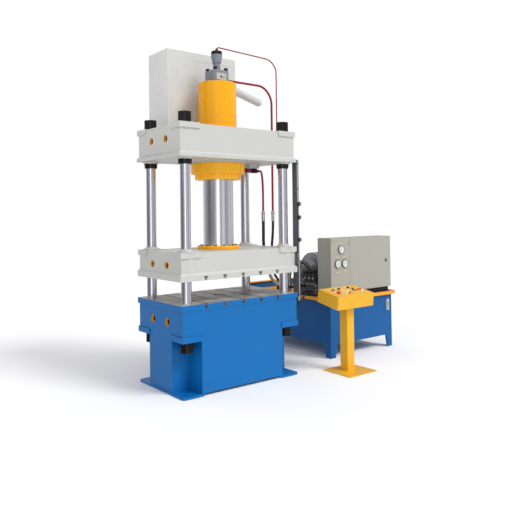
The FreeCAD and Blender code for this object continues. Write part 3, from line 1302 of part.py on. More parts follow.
def panel_level(y):
    """The height of the console's sloping top at a distance in front of the ram's axis."""
    return (f"console_front_top + (console_back_top - console_front_top)"
            f"*(console_front - {y})/(console_front - console_back)")


def console_box():
    sheet_gap = "console_sheet"
    outer = [("-console_front", "console_front_top"), ("-console_back", "console_back_top"),
             ("-console_back + console_lean", "console_back_foot"),
             ("-console_front + console_toe", "console_front_foot")]
    box = padded("ConsoleBox", "YZ_Plane", outer, "console_length", "console_x")
    inner = [(f"-console_front + {sheet_gap}", f"console_front_top - {sheet_gap}"),
             (f"-console_back - {sheet_gap}", f"console_back_top - {sheet_gap}"),
             (f"-console_back + console_lean - {sheet_gap}", f"console_back_foot + {sheet_gap}"),
             (f"-console_front + console_toe + {sheet_gap}", f"console_front_foot + {sheet_gap}")]
    room = padded("ConsoleRoom", "YZ_Plane", inner, f"console_length - 2*{sheet_gap}",
                  f"console_x + {sheet_gap}")
    holes = [tilted(rod("button_hole", "2*long_overrun", "0", "0", "0"), x, y, "-long_overrun")
             for x, y in BUTTON_PLACES.values()]
    node("console_box", cut(cut(box, [room]), holes))


def tilted(item, x, y, along):
    """Stands an item that is drawn about the Z axis on the console's sloping top."""
    slope = math.radians(panel_normal())
    item.Placement = FreeCAD.Placement(Vector(), FreeCAD.Rotation(Vector(1, 0, 0),
                                                                  panel_normal()))
    item.setExpression("Placement.Base.x", cells(x))
    item.setExpression("Placement.Base.y", cells(f"-{y} - ({along})*{math.sin(slope):.6f}"))
    item.setExpression("Placement.Base.z",
                       cells(f"{panel_level(y)} + ({along})*{math.cos(slope):.6f}"))
    return item


def buttons():
    stem = "button_hole - button_gap"
    for name, (x, y) in BUTTON_PLACES.items():
        shank = tilted(rod(stem, "button_stem + button_travel + 2*overrun", "0", "0", "0"), x, y,
                       "-button_stem")
        pieces = [shank]
        lift = "(button_travel + overrun)"
        if name == "emergency_stop":
            pieces.append(tilted(rod(stem, "mushroom_rise + overrun", "0", "0", "0"), x, y, "0"))
            pieces.append(tilted(rod("mushroom_radius", "mushroom_height", "0", "0", "0"), x, y,
                                 "mushroom_rise"))
        elif name == "selector_switch":
            pieces.append(tilted(rod("button_radius", "selector_height", "0", "0", "0"), x, y,
                                 "selector_gap"))
            lever = block("0", "lever_width", "0", "lever_length", "0", "lever_height")
            pieces.append(tilted(lever, f"{x} - lever_width/2", f"{y} + lever_length/2",
                                 "selector_height"))
        else:
            pieces.append(tilted(rod("button_radius", "button_height - button_travel", "0", "0",
                                     "0"), x, y, lift))
        node(name, joined(pieces))


def check_and_write():
    doc.recompute()
    for item in doc.Objects:
        if "Invalid" in item.State or "Error" in item.State:
            raise RuntimeError(f"{item.Name} ({item.Label}) is {item.State}")
    os.makedirs("parts", exist_ok=True)
    for name, item in nodes.items():
        shape = item.Shape
        if shape.isNull() or not shape.isValid() or not shape.Solids:
            raise RuntimeError(f"{name} has no valid solid")
        shape.exportStep(f"parts/{name}.step")
    print(f"{len(nodes)} nodes written")


for build in (base_frame, worktable, columns, column_nuts, crown, slide_block, guide_bushes,
              main_cylinder, threaded_rings, ram_guides, ram, filling_tank, filling_duct,
              prefill_valve, pilot_line, pressure_pipe, return_pipe, pipe_fittings, hoses,
              ejector, limit_rail, oil_tank, tank_cover, tank_fittings, motor, pump, manifold,
              pump_pipes, cabinet, gauges, console_stand, console_box, buttons):
    build()
check_and_write()
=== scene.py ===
"""The looks of a four-column hydraulic press, its oil power unit and its console.

Metres, +Z up, the CAD model's own frame: the origin is on the ram's axis at floor level,
+X runs along the long front towards the power unit and +Y runs to the back.
"""

import json
import math

import bmesh
import bpy
from mathutils import Matrix, Vector

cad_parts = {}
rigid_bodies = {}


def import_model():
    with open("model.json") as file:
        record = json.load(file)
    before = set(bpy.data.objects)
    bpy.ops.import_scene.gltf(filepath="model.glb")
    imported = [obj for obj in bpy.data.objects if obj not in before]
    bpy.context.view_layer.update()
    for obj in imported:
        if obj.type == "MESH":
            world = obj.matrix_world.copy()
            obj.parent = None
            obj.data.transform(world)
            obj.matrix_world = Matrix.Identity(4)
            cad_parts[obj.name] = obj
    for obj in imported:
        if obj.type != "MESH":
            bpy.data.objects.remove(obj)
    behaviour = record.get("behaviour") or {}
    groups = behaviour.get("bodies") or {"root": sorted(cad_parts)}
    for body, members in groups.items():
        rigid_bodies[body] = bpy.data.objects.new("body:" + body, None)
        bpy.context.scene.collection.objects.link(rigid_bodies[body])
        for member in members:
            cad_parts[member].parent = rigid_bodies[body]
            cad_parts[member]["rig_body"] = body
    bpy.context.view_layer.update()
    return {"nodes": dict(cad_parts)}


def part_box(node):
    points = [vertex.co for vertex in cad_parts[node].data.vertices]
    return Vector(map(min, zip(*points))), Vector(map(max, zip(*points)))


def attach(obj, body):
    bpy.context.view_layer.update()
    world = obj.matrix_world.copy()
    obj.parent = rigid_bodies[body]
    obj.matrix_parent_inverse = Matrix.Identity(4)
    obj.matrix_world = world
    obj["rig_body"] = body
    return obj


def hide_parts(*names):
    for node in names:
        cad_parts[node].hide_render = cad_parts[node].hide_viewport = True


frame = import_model()
scene = bpy.context.scene


def add_object(name, data):
    obj = bpy.data.objects.new(name, data)
    scene.collection.objects.link(obj)
    return obj



# Camera -----------------------------------

CAMERA_PLACE = Vector((-3.2215, -4.6053, 1.5351))
CAMERA_YAW = 0.6602033
CAMERA_PITCH = 0.0141852
CAMERA_ROLL = -0.0119472
CAMERA_LENS = 41.99
CAMERA_SHIFT = (0.0112, -0.0942)


def add_camera():
    data = bpy.data.cameras.new("camera")
    data.lens = CAMERA_LENS
    data.sensor_width = 36
    data.shift_x, data.shift_y = CAMERA_SHIFT
    data.clip_end = 200
    camera = add_object("camera", data)
    forward = Vector((math.sin(CAMERA_YAW) * math.cos(CAMERA_PITCH),
                      math.cos(CAMERA_YAW) * math.cos(CAMERA_PITCH), math.sin(CAMERA_PITCH)))
    right = Vector((math.cos(CAMERA_YAW), -math.sin(CAMERA_YAW), 0))
    up = right.cross(forward)
    turned_right = math.cos(CAMERA_ROLL) * right + math.sin(CAMERA_ROLL) * up
    turned_up = math.cos(CAMERA_ROLL) * up - math.sin(CAMERA_ROLL) * right
    turn = Matrix((turned_right, turned_up, -forward)).transposed()
    camera.matrix_world = Matrix.Translation(CAMERA_PLACE) @ turn.to_4x4()
    scene.camera = camera


add_camera()

# Materials --------------------------------


def srgb(red, green, blue):
    """A linear colour from the usual 0 to 255 values."""
    linear = []
    for value in (red, green, blue):
        share = value / 255
        linear.append(share / 12.92 if share <= 0.04045 else ((share + 0.055) / 1.055) ** 2.4)
    return (*linear, 1)


def shade(colour, factor):
    return (*(min(1, channel * factor) for channel in colour[:3]), 1)


MATERIALS = {}


class Nodes:
    """A material's or a world's node tree, with short calls for the nodes used here."""

    def __init__(self, owner, shader="Principled BSDF", space="Object"):
        owner.use_nodes = True
        self.tree = owner.node_tree
        self.shader = self.tree.nodes[shader]
        self.place = self.new("TexCoord").outputs[space]

    def new(self, kind, **inputs):
        node = self.tree.nodes.new(f"ShaderNode{kind}")
        self.fill(node, inputs)
        return node

    def fill(self, node, inputs):
        """Links each input to another node's output, or sets it to a constant."""
        for key, value in inputs.items():
            socket = node.inputs[key.replace("_", " ") if isinstance(key, str) else key]
            if isinstance(value, bpy.types.NodeSocket):
                self.tree.links.new(value, socket)
            else:
                socket.default_value = value

    def set(self, **inputs):
        self.fill(self.shader, inputs)

    def colour(self, source):
        self.set(Base_Color=source)

    def rough(self, source):
        self.set(Roughness=source)

    def noise(self, scale, detail=4, stretch=(1, 1, 1), roughness=0.55):
        mapping = self.new("Mapping", Vector=self.place, Scale=stretch)
        return self.new("TexNoise", Vector=mapping.outputs["Vector"], Scale=scale,
                        Detail=detail, Roughness=roughness).outputs["Fac"]

    def ramp(self, source, stops):
        ramp = self.new("ValToRGB", Fac=source)
        points = ramp.color_ramp.elements
        points[0].position, points[0].color = stops[0]
        points[1].position, points[1].color = stops[-1]
        for position, colour in stops[1:-1]:
            points.new(position).color = colour
        return ramp.outputs["Color"]

    def tones(self, source, dark, light):
        return self.ramp(source, [(0.3, dark), (0.7, light)])

    def spread(self, source, low, high, start=0.3, end=0.7):
        return self.new("MapRange", Value=source, From_Min=start, From_Max=end, To_Min=low,
                        To_Max=high).outputs["Result"]

    def mix(self, share, first, second):
        mix = self.new("Mix")
        mix.data_type = "RGBA"
        self.fill(mix, {"Factor": share, 6: first, 7: second})
        return mix.outputs[2]

    def combine(self, operation, first, second, kind="Math"):
        node = self.new(kind)
        node.operation = operation
        self.fill(node, {0: first, 1: second})
        return node.outputs["Value"]

    def bump(self, height, strength, distance=0.001):
        bump = self.new("Bump", Strength=strength, Distance=distance, Height=height)
        self.set(Normal=bump.outputs["Normal"])

    def edges(self, radius):
        """About 1 along convex edges and 0 elsewhere."""
        bevel = self.new("Bevel", Radius=radius)
        bevel.samples = 4
        geometry = self.new("NewGeometry")
        dot = self.combine("DOT_PRODUCT", bevel.outputs["Normal"],
                           geometry.outputs["True Normal"], "VectorMath")
        return self.spread(dot, 1, 0, 0.80, 0.97)


def material_nodes(name):
    """The nodes of a new material, which MATERIALS keeps under its name."""
    MATERIALS[name] = bpy.data.materials.new(name)
    return Nodes(MATERIALS[name])


def paint(name, colour, roughness=0.3, peel=0.05, vary=0.04, coat=0.06, grime=0.04, gloss=0.28):
    """Sprayed machine enamel: cloudy tone, orange peel, thin edges and a little dust."""
    nodes = material_nodes(name)
    colour = srgb(*colour)
    tone = nodes.tones(nodes.noise(1.6, 3), shade(colour, 1 - vary), shade(colour, 1 + vary))
    dust = nodes.spread(nodes.noise(5, 5, (1, 1, 0.3)), 0, 1, 0.45, 0.85)
    dust = nodes.combine("MULTIPLY", dust, grime)
    tone = nodes.mix(dust, tone, srgb(120, 112, 100))
    worn = nodes.spread(nodes.noise(40, 4), 0, 0.35, 0.5, 0.7)
    worn = nodes.combine("MULTIPLY", nodes.edges(0.003), worn)
    nodes.colour(nodes.mix(worn, tone, shade(colour, 0.72)))
    nodes.rough(nodes.spread(nodes.noise(9, 4), roughness - 0.04, roughness + 0.08))
    nodes.bump(nodes.noise(260, 2), peel, 0.0005)
    nodes.set(Coat_Weight=coat, Coat_Roughness=0.15, Specular_IOR_Level=gloss)


def metal(name, colour, roughness, streak=(1, 1, 1), scale=60, peel=0.05, vary=0.12,
          metallic=1.0):
    """Machined or plated metal with fine tool marks along one direction."""
    nodes = material_nodes(name)
    colour = srgb(*colour)
    marks = nodes.noise(scale, 6, streak)
    nodes.colour(nodes.tones(marks, shade(colour, 1 - vary), shade(colour, 1 + vary / 2)))
    nodes.rough(nodes.spread(nodes.noise(7, 5, streak), roughness * 0.8, roughness * 1.3))
    nodes.bump(marks, peel, 0.0004)
    nodes.set(Metallic=metallic)


def moulded(name, colour, roughness=0.45, grain=0.15, vary=0.10):
    """Plastic or rubber with a fine grain and a slight bloom."""
    nodes = material_nodes(name)
    colour = srgb(*colour)
    bloom = nodes.noise(11, 5)
    nodes.colour(nodes.tones(bloom, shade(colour, 1 - vary), shade(colour, 1 + vary)))
    nodes.rough(nodes.spread(bloom, roughness - 0.05, roughness + 0.12))
    nodes.bump(nodes.noise(420, 2), grain, 0.0005)


def glass(name, tint, alpha):
    nodes = material_nodes(name)
    smear = nodes.noise(30, 4)
    nodes.rough(nodes.spread(smear, 0.02, 0.09))
    nodes.colour(nodes.tones(smear, tint, shade(tint, 1.04)))
    nodes.set(Alpha=alpha, IOR=1.5)


def ground_table():
    """The ground steel of the table: grinding marks, handling stains and pale bluish-white streaks.
    """
    nodes = material_nodes("ground_table")
    grain = nodes.noise(90, 5, (1, 0.05, 1))
    steel = nodes.tones(grain, srgb(168, 162, 152), srgb(196, 191, 182))
    stains = nodes.spread(nodes.noise(3.4, 5, (1, 1.6, 1), 0.55), 0, 0.45, 0.46, 0.70)
    steel = nodes.mix(stains, steel, srgb(132, 118, 100))
    pale_streaks = nodes.spread(nodes.noise(5, 4, (0.4, 2.0, 1)), 0, 0.65, 0.52, 0.68)
    nodes.colour(nodes.mix(pale_streaks, steel, srgb(222, 221, 226)))
    nodes.rough(nodes.spread(nodes.noise(5, 5), 0.30, 0.50))
    nodes.bump(grain, 0.10, 0.0003)
    nodes.set(Metallic=0.55)


paint("cream", (191, 192, 187), 0.32, vary=0.015, grime=0.02)
paint("tank_cream", (203, 204, 202), 0.27, vary=0.006, coat=0.25, grime=0.012, gloss=0.5)
paint("blue", (6, 104, 172), 0.34, vary=0.03, grime=0.02)
paint("tank_blue", (4, 86, 148), 0.34, vary=0.04, grime=0.03)
# Painted light: a lighter copy of the yellow for the lock nut and gland ring, which sit in the
# crown's shade.
paint("yellow_painted_light", (255, 188, 38), 0.28, vary=0.02, grime=0.01)
paint("yellow", (240, 166, 4), 0.28, vary=0.02, coat=0.12, grime=0.01)
paint("amber", (230, 174, 44), 0.32, vary=0.025, grime=0.02)
paint("orange", (238, 158, 30), 0.34, vary=0.04, grime=0.03)
paint("beige", (164, 162, 151), 0.46, peel=0.14, vary=0.012, coat=0.0, grime=0.02)
paint("red_line", (150, 26, 50), 0.30, vary=0.08, grime=0.02)
paint("valve_grey", (126, 131, 142), 0.36, vary=0.03, grime=0.03)
paint("motor_grey", (150, 152, 158), 0.32, vary=0.06, grime=0.08)
paint("iron", (112, 113, 116), 0.42, peel=0.25, vary=0.10, grime=0.12)
paint("rail_grey", (142, 145, 149), 0.38, vary=0.02)
# A dark grey: the trip bracket's own paint, and painted shade on the limit rail's left face.
paint("dark_grey_and_rail_shade", (84, 88, 92), 0.44, vary=0.05)
paint("plinth_black", (30, 31, 33), 0.5, peel=0.2, coat=0.0)
metal("black_oxide", (44, 41, 42), 0.27, scale=90, metallic=0.8)
metal("chrome", (212, 211, 220), 0.21, (1, 1, 12), 30, 0.004, 0.02)
metal("ram_chrome", (216, 215, 218), 0.19, (1, 1, 16), 26, 0.005, 0.03)
metal("zinc", (196, 196, 190), 0.30, scale=120, vary=0.10)
metal("steel", (150, 150, 148), 0.38, scale=80)
metal("dark_steel", (104, 105, 110), 0.42, scale=60, vary=0.2)
metal("bronze", (176, 134, 68), 0.34, (1, 1, 12), 50)
# Painted shade: the dark colour deep inside the lifting holes, beyond their yellow lining.
paint("bore_painted_shade", (58, 56, 50), 0.5, coat=0.0)
moulded("rubber", (20, 20, 21), 0.52, 0.3)
moulded("sleeve", (168, 156, 128), 0.8, 0.5)
moulded("black_plastic", (24, 24, 26), 0.40)
moulded("coil_plastic", (44, 44, 52), 0.5, 0.2)
moulded("green_plastic", (20, 128, 58), 0.28, 0.05)
moulded("red_plastic", (214, 34, 22), 0.28, 0.05)
moulded("white_plastic", (236, 234, 226), 0.34, 0.06, 0.02)
moulded("dial_white", (216, 216, 210), 0.6, 0.02, 0.01)
metal("plate", (212, 210, 200), 0.34, (1, 1, 8), 90, 0.03, 0.05, 0.6)
ground_table()
glass("glass", (0.95, 0.97, 0.97, 1), 0.22)
glass("oil_glass", (0.86, 0.88, 0.80, 1), 0.65)

# Cords ------------------------------------

PRESSURE_HOSE = [
    (0.684, 0.010, 1.466), (0.684, 0.010, 1.370), (0.694, 0.044, 1.225), (0.720, 0.084, 1.070),
    (0.768, 0.112, 0.930), (0.862, 0.150, 0.842), (0.985, 0.176, 0.776), (1.110, 0.188, 0.734),
    (1.218, 0.200, 0.740), (1.304, 0.200, 0.740),
]
RETURN_HOSE = [
    (0.700, 0.184, 1.466), (0.700, 0.184, 1.370), (0.706, 0.194, 1.235), (0.730, 0.200, 1.085),
    (0.772, 0.206, 0.950), (0.845, 0.224, 0.842), (0.960, 0.262, 0.770), (1.090, 0.280, 0.728),
    (1.216, 0.260, 0.740), (1.304, 0.260, 0.740),
]
EJECTOR_HOSE_FRONT = [
    (0.698, -0.040, 0.600), (0.775, -0.040, 0.600), (0.880, -0.024, 0.578),
    (0.992, 0.010, 0.574), (1.112, 0.056, 0.616), (1.212, 0.096, 0.684), (1.304, 0.096, 0.684),
]
EJECTOR_HOSE_REAR = [
    (0.698, 0.040, 0.430), (0.778, 0.040, 0.430), (0.880, 0.054, 0.438), (0.985, 0.080, 0.474),
    (1.072, 0.108, 0.542), (1.138, 0.134, 0.628), (1.214, 0.152, 0.684), (1.304, 0.152, 0.684),
]


def route_curve(name, route, radius=0.0):
    """A hose's route as one smooth spline through its control points."""
    curve = bpy.data.curves.new(name, "CURVE")
    curve.dimensions = "3D"
    curve.bevel_depth = radius
    curve.bevel_resolution = 5
    curve.resolution_u = 16
    curve.use_fill_caps = True
    spline = curve.splines.new("NURBS")
    spline.points.add(len(route) - 1)
    for point, place in zip(spline.points, route):
        point.co = (*place, 1)
    spline.order_u = 3
    spline.use_endpoint_u = True
    return curve


def route_points(route):
    """Points read along a hose's spline."""
    curve = route_curve("route", route)
    holder = bpy.data.objects.new("route", curve)
    mesh = bpy.data.meshes.new_from_object(holder)
    points = [tuple(vertex.co) for vertex in mesh.vertices]
    bpy.data.objects.remove(holder)
    bpy.data.curves.remove(curve)
    bpy.data.meshes.remove(mesh)
    return points


def hose(node, route, radius):
    curve = route_curve(f"{node}_line", route, radius)
    curve.materials.append(MATERIALS["rubber"])
    line = add_object(f"{node}_line", curve)
    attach(line, "frame")
    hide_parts(node)


# Mesh helpers -----------------------------

SHARP_ANGLE = math.radians(32)
BEVEL_ANGLE = math.radians(34)
WELD_RADIUS = 0.0035


def smooth(mesh):
    for face in mesh.polygons:
        face.use_smooth = True
    mesh.set_sharp_from_angle(angle=SHARP_ANGLE)


def bevelled(obj, width, segments=2):
    """Rounds an object's sharp edges for good, so that no modifier is left on it."""
    bevel = obj.modifiers.new("edges", "BEVEL")
    bevel.width = width
    bevel.segments = segments
    bevel.limit_method = "ANGLE"
    bevel.angle_limit = BEVEL_ANGLE
    applied(obj)
    smooth(obj.data)
    even = obj.modifiers.new("shading", "WEIGHTED_NORMAL")
    even.keep_sharp = True
    applied(obj)
    return obj


def mesh_of(work, name):
    mesh = bpy.data.meshes.new(name)
    work.to_mesh(mesh)
    work.free()
    return mesh


def evaluated(obj):
    graph = bpy.context.evaluated_depsgraph_get()
    return bpy.data.meshes.new_from_object(obj.evaluated_get(graph))


def applied(obj):
    mesh = evaluated(obj)
    obj.modifiers.clear()
    obj.data = mesh


def dressed(node, material, width=0.003, extra=(), pick=None, segments=2):
    """A copy of a CAD node with its edges rounded, which stands for the node.

    pick gives the number of the extra material that a face takes, or 0.
    """
    source = frame["nodes"][node]
    work = bmesh.new()
    work.from_mesh(source.data)
    bmesh.ops.remove_doubles(work, verts=work.verts, dist=1e-5)
    bmesh.ops.dissolve_limit(work, angle_limit=math.radians(0.6), verts=work.verts,
                             edges=work.edges)
    mesh = mesh_of(work, f"{node}_shell")
    piece = add_object(f"{node}_shell", mesh)
    mesh.materials.clear()
    for name in (material, *extra):
        mesh.materials.append(MATERIALS[name])
    if pick:
        for face in mesh.polygons:
            face.material_index = pick(face.center, face.normal)
    bevelled(piece, width, segments)
    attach(piece, source["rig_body"])
    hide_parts(node)
    return piece


def finish(material, *nodes):
    """CAD nodes whose shapes are right get only a better material."""
    for node in nodes:
        mesh = frame["nodes"][node].data
        mesh.materials.clear()
        mesh.materials.append(MATERIALS[material])
        smooth(mesh)


def piece(name, work, material, slot, width=0, extra=(), body="frame"):
    """A new piece from a filled bmesh, riding on its body."""
    bmesh.ops.recalc_face_normals(work, faces=work.faces)
    mesh = mesh_of(work, name)
    for key in (material, *extra):
        mesh.materials.append(MATERIALS[key])
    obj = add_object(name, mesh)
    if width:
        bevelled(obj, width)
    else:
        smooth(mesh)
    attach(obj, body)
    return obj


FRONT, LEFT, RIGHT, UP = (0, -1, 0), (-1, 0, 0), (1, 0, 0), (0, 0, 1)


def facing(place, direction):
    """A matrix that stands a shape drawn about +Z at a place, pointing along a direction."""
    turn = Vector(UP).rotation_difference(Vector(direction)).to_matrix().to_4x4()
    return Matrix.Translation(Vector(place)) @ turn


UPRIGHT = Matrix.Identity(4)


def at(x, y, z):
    return Matrix.Translation((x, y, z))


def add_lathe(work, profile, matrix=UPRIGHT, segments=32, index=0):
    """A closed turned shape; the profile's (radius, height) corners run from axis to axis."""
    rings = []
    for radius, height in profile:
        if radius < 1e-6:
            rings.append([work.verts.new(matrix @ Vector((0, 0, height)))])
            continue
        rings.append([work.verts.new(matrix @ Vector((
            radius * math.cos(math.tau * k / segments),
            radius * math.sin(math.tau * k / segments), height))) for k in range(segments)])
    pairs = list(zip(rings, rings[1:]))
    if len(rings[0]) > 1 and len(rings[-1]) > 1:
        pairs.append((rings[-1], rings[0]))
    for lower, upper in pairs:
        for k in range(segments):
            after = (k + 1) % segments
            if len(lower) == 1:
                corners = [lower[0], upper[k], upper[after]]
            elif len(upper) == 1:
                corners = [lower[k], lower[after], upper[0]]
            else:
                corners = [lower[k], lower[after], upper[after], upper[k]]
            work.faces.new(corners).material_index = index


def add_disc(work, foot, head, height, matrix, segments, index=0):
    """A turned disc whose rim runs from the foot's radius to the head's."""
    add_ring(work, (0, foot, head), (0, height), matrix, segments, index)


def add_ring(work, radii, levels, matrix, segments, index=0):
    """A turned ring; the radii are those of its bore, its foot and its head."""
    (bore, foot, head), (low, high) = radii, levels
    add_lathe(work, [(bore, low), (foot, low), (head, high), (bore, high)], matrix, segments,
              index)


def add_prism(work, outline, low, high, matrix=UPRIGHT, index=0):
    """A flat outline of (x, y) corners, raised from low to high."""
    foot = [work.verts.new(matrix @ Vector((x, y, low))) for x, y in outline]
    head = [work.verts.new(matrix @ Vector((x, y, high))) for x, y in outline]
    work.faces.new(foot[::-1]).material_index = index
    work.faces.new(head).material_index = index
    for k in range(len(outline)):
        after = (k + 1) % len(outline)
        side = work.faces.new([foot[k], foot[after], head[after], head[k]])
        side.material_index = index


def rectangle(low, high):
    return [(low[0], low[1]), (high[0], low[1]), (high[0], high[1]), (low[0], high[1])]


def add_box(work, low, high, matrix=UPRIGHT, index=0):
    add_prism(work, rectangle(low, high), low[2], high[2], matrix, index)


def ring_of(count, radius, start=0.0):
    return [(radius * math.cos(start + math.tau * k / count),
             radius * math.sin(start + math.tau * k / count)) for k in range(count)]


def add_hex(work, across, low, high, matrix=UPRIGHT, index=0):
    add_prism(work, ring_of(6, across / math.sqrt(3)), low, high, matrix, index)


def add_cap_screw(work, radius, height, matrix, index=0):
    """A socket-head screw: a knurled drum with a hexagonal recess in its head."""
    add_lathe(work, [(0, height * 0.45), (radius * 0.52, height * 0.45),
                     (radius * 0.56, height), (radius * 0.90, height),
                     (radius, height * 0.88), (radius, 0), (0, 0)], matrix, 24, index)


def add_hex_bolt(work, across, matrix, index=0):
    """A washer and a hexagon head."""
    add_disc(work, across * 0.66, across * 0.66, across * 0.10, matrix, 24, index)
    add_hex(work, across, across * 0.10, across * 0.62, matrix, index)


def add_tube(work, points, radius, segments=12, index=0):
    """A tube of straight stretches and mitred corners through the points."""
    points = [Vector(point) for point in points]
    rings = []
    side = None
    for k, point in enumerate(points):
        before = (point - points[k - 1]).normalized() if k else None
        after = (points[k + 1] - point).normalized() if k + 1 < len(points) else None
        along = (before or after) if not (before and after) else (before + after).normalized()
        if side is None:
            side = along.orthogonal().normalized()
        side = (side - along * side.dot(along)).normalized()
        across = along.cross(side)
        rings.append([work.verts.new(point + radius * (math.cos(math.tau * j / segments) * side
                                                       + math.sin(math.tau * j / segments)
                                                       * across)) for j in range(segments)])
    for lower, upper in zip(rings, rings[1:]):
        for j in range(segments):
            after = (j + 1) % segments
            work.faces.new([lower[j], lower[after], upper[after], upper[j]]).material_index = index
    work.faces.new(rings[0][::-1]).material_index = index
    work.faces.new(rings[-1]).material_index = index


def add_weld(work, low, high, level):
    """A weld bead round a rectangle."""
    ring = rectangle(low, high)
    for here, there in zip(ring, ring[1:] + ring[:1]):
        add_tube(work, [(*here, level), (*there, level)], WELD_RADIUS, 8)


def bent(points, radius, steps=8):
    """The points of a path with each inner corner rounded to a radius."""
    points = [Vector(point) for point in points]
    path = [points[0]]
    for before, corner, after in zip(points, points[1:], points[2:]):
        inward = (before - corner).normalized()
        outward = (after - corner).normalized()
        reach = min(radius, (before - corner).length / 2, (after - corner).length / 2)
        start = corner + inward * reach
        end = corner + outward * reach
        for k in range(steps + 1):
            share = k / steps
            path.append(start.lerp(corner, share).lerp(corner.lerp(end, share), share))
    path.append(points[-1])
    return path


# Press frame ------------------------------

COLUMNS = [(x, y) for x in (-0.550, 0.550) for y in (-0.300, 0.300)]
LIFT_PITCH = 0.250
# Each beam's lifting holes: height, radius and how far out the end walls stand.
LIFT_HOLES = {"base_frame": (0.615, 0.037, 0.636), "crown": (2.201, 0.032, 0.638),
              "slide_block": (1.104, 0.032, 0.638)}
LINING_DEPTH = 0.024
BEAM_SLOTS = {"base_frame": "base_paint", "crown": "crown_paint", "slide_block": "slide_paint"}
FERRULE = 0.080


def in_lift_hole(node):
    """Picks the faces deep inside a beam's lifting holes, which take a dark painted shade beyond
    the yellow lining.
    """
    level, radius, _ = LIFT_HOLES[node]

    def pick(centre, normal):
        away = math.hypot(abs(centre.y) - LIFT_PITCH / 2, centre.z - level)
        return 1 if abs(away - radius) < 0.0015 and abs(normal.x) < 0.3 else 0

    return pick


def lift_linings(node):
    """Yellow paint round the mouth of each lifting hole."""
    level, radius, wall = LIFT_HOLES[node]
    work = bmesh.new()
    radii = (radius - 0.0014, radius - 0.0002, radius - 0.0002)
    for side in (-1, 1):
        for y in (-LIFT_PITCH / 2, LIFT_PITCH / 2):
            add_ring(work, radii, (0.0006, LINING_DEPTH),
                     facing((side * wall, y, level), (-side, 0, 0)), 40)
    piece(f"{node}_hole_linings", work, "yellow", BEAM_SLOTS[node],
          body=frame["nodes"][node]["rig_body"])


def column_wipers():
    """The flared housings of the wiper rings where the columns leave the slide's top."""
    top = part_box("guide_bushes")[1].z + 0.0012
    rise, bore, lip, foot = 0.018, 0.0458, 0.0520, 0.0860
    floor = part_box("ram_flange")[0].z
    profile = [(0.0765, top), (bore, top), (bore, top + rise), (lip, top + rise)]
    depth = top + rise - floor - 0.001
    for step in range(9):
        turn = math.pi / 2 * (1 - step / 8)
        profile.append((foot - (foot - lip) * math.sin(turn),
                        top + rise - 0.001 - depth * math.cos(turn)))
    profile.append((0.0765, floor + 0.0002))
    work = bmesh.new()
    for x, y in COLUMNS:
        add_lathe(work, profile, at(x, y, 0), 48)
    piece("column_wipers", work, "cream", "slide_paint", body="slide")


def table_faces(centre, normal):
    """Steel on the top and in the slots and holes, paint on the outer edges."""
    low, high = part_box("worktable")
    outer = min(centre.x - low.x, high.x - centre.x, centre.y - low.y, high.y - centre.y)
    if outer < 0.0005 or normal.z < -0.9 and centre.z < low.z + 0.001:
        return 0
    return 1


def beam(node, material):
    # The faces deep in the lifting holes take the dark painted shade.
    dressed(node, material, 0.005, ("bore_painted_shade",), in_lift_hole(node))


def press_frame():
    beam("base_frame", "blue")
    dressed("worktable", "blue", 0.0015, ("ground_table",), table_faces)
    beam("crown", "cream")
    beam("slide_block", "cream")
    for node in BEAM_SLOTS:
        lift_linings(node)
    column_wipers()
    for node in ("upper_column_nuts", "lower_column_nuts", "crown_collars"):
        dressed(node, "black_oxide", 0.003)
    finish("chrome", "columns")
    finish("bronze", "guide_bushes")


def ring_places(count, radius, place, direction, start=0.0):
    """Matrices spread round a pitch circle, each pointing along the direction."""
    base = facing(place, direction)
    return [base @ at(x, y, 0) for x, y in ring_of(count, radius, start)]


def flange_screws():
    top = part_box("ram_flange")[1].z
    work = bmesh.new()
    for place in ring_places(12, 0.166, (0, 0, top), UP, math.pi / 12):
        add_cap_screw(work, 0.011, 0.007, place)
    piece("ram_flange_screws", work, "black_oxide", "black_steel", body="slide")


def main_cylinder():
    dressed("main_cylinder", "yellow", 0.003)
    # The rings under the crown take the lighter yellow copy as painted light.
    for node in ("cylinder_lock_nut", "gland_ring"):
        dressed(node, "yellow_painted_light", 0.002)
    dressed("ram_flange", "yellow", 0.013, segments=5)
    flange_screws()
    finish("ram_chrome", "ram")
    finish("bronze", "ram_guide_bush")
    finish("rubber", "ram_packing", "piston_seal")


def tank_details():
    """The lid's fold, the weld round the foot and the duct's bolted flange."""
    low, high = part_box("filling_tank")
    work = bmesh.new()
    add_box(work, (-0.130, low.y - 0.0025, 3.036), (high.x - 0.004, low.y + 0.001, 3.044))
    add_box(work, (high.x - 0.001, low.y + 0.02, 3.036), (high.x + 0.0025, high.y - 0.02, 3.044))
    piece("tank_lid_fold", work, "tank_cream", "tank_paint", 0.001)
    work = bmesh.new()
    add_weld(work, (low.x - 0.002, low.y - 0.002), (high.x + 0.002, high.y + 0.002),
             low.z + 0.003)
    piece("tank_weld", work, "tank_cream", "tank_paint")
    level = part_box("filling_duct")[0].z + 0.060
    mouth = (0, low.y - 0.001, level)
    work = bmesh.new()
    add_ring(work, (0.0604, 0.080, 0.080), (0, 0.014), facing(mouth, FRONT), 48)
    for place in ring_places(8, 0.070, (0, low.y - 0.015, level), FRONT):
        add_hex_bolt(work, 0.012, place, 1)
    piece("duct_flange", work, "tank_cream", "tank_paint", extra=("black_oxide",))


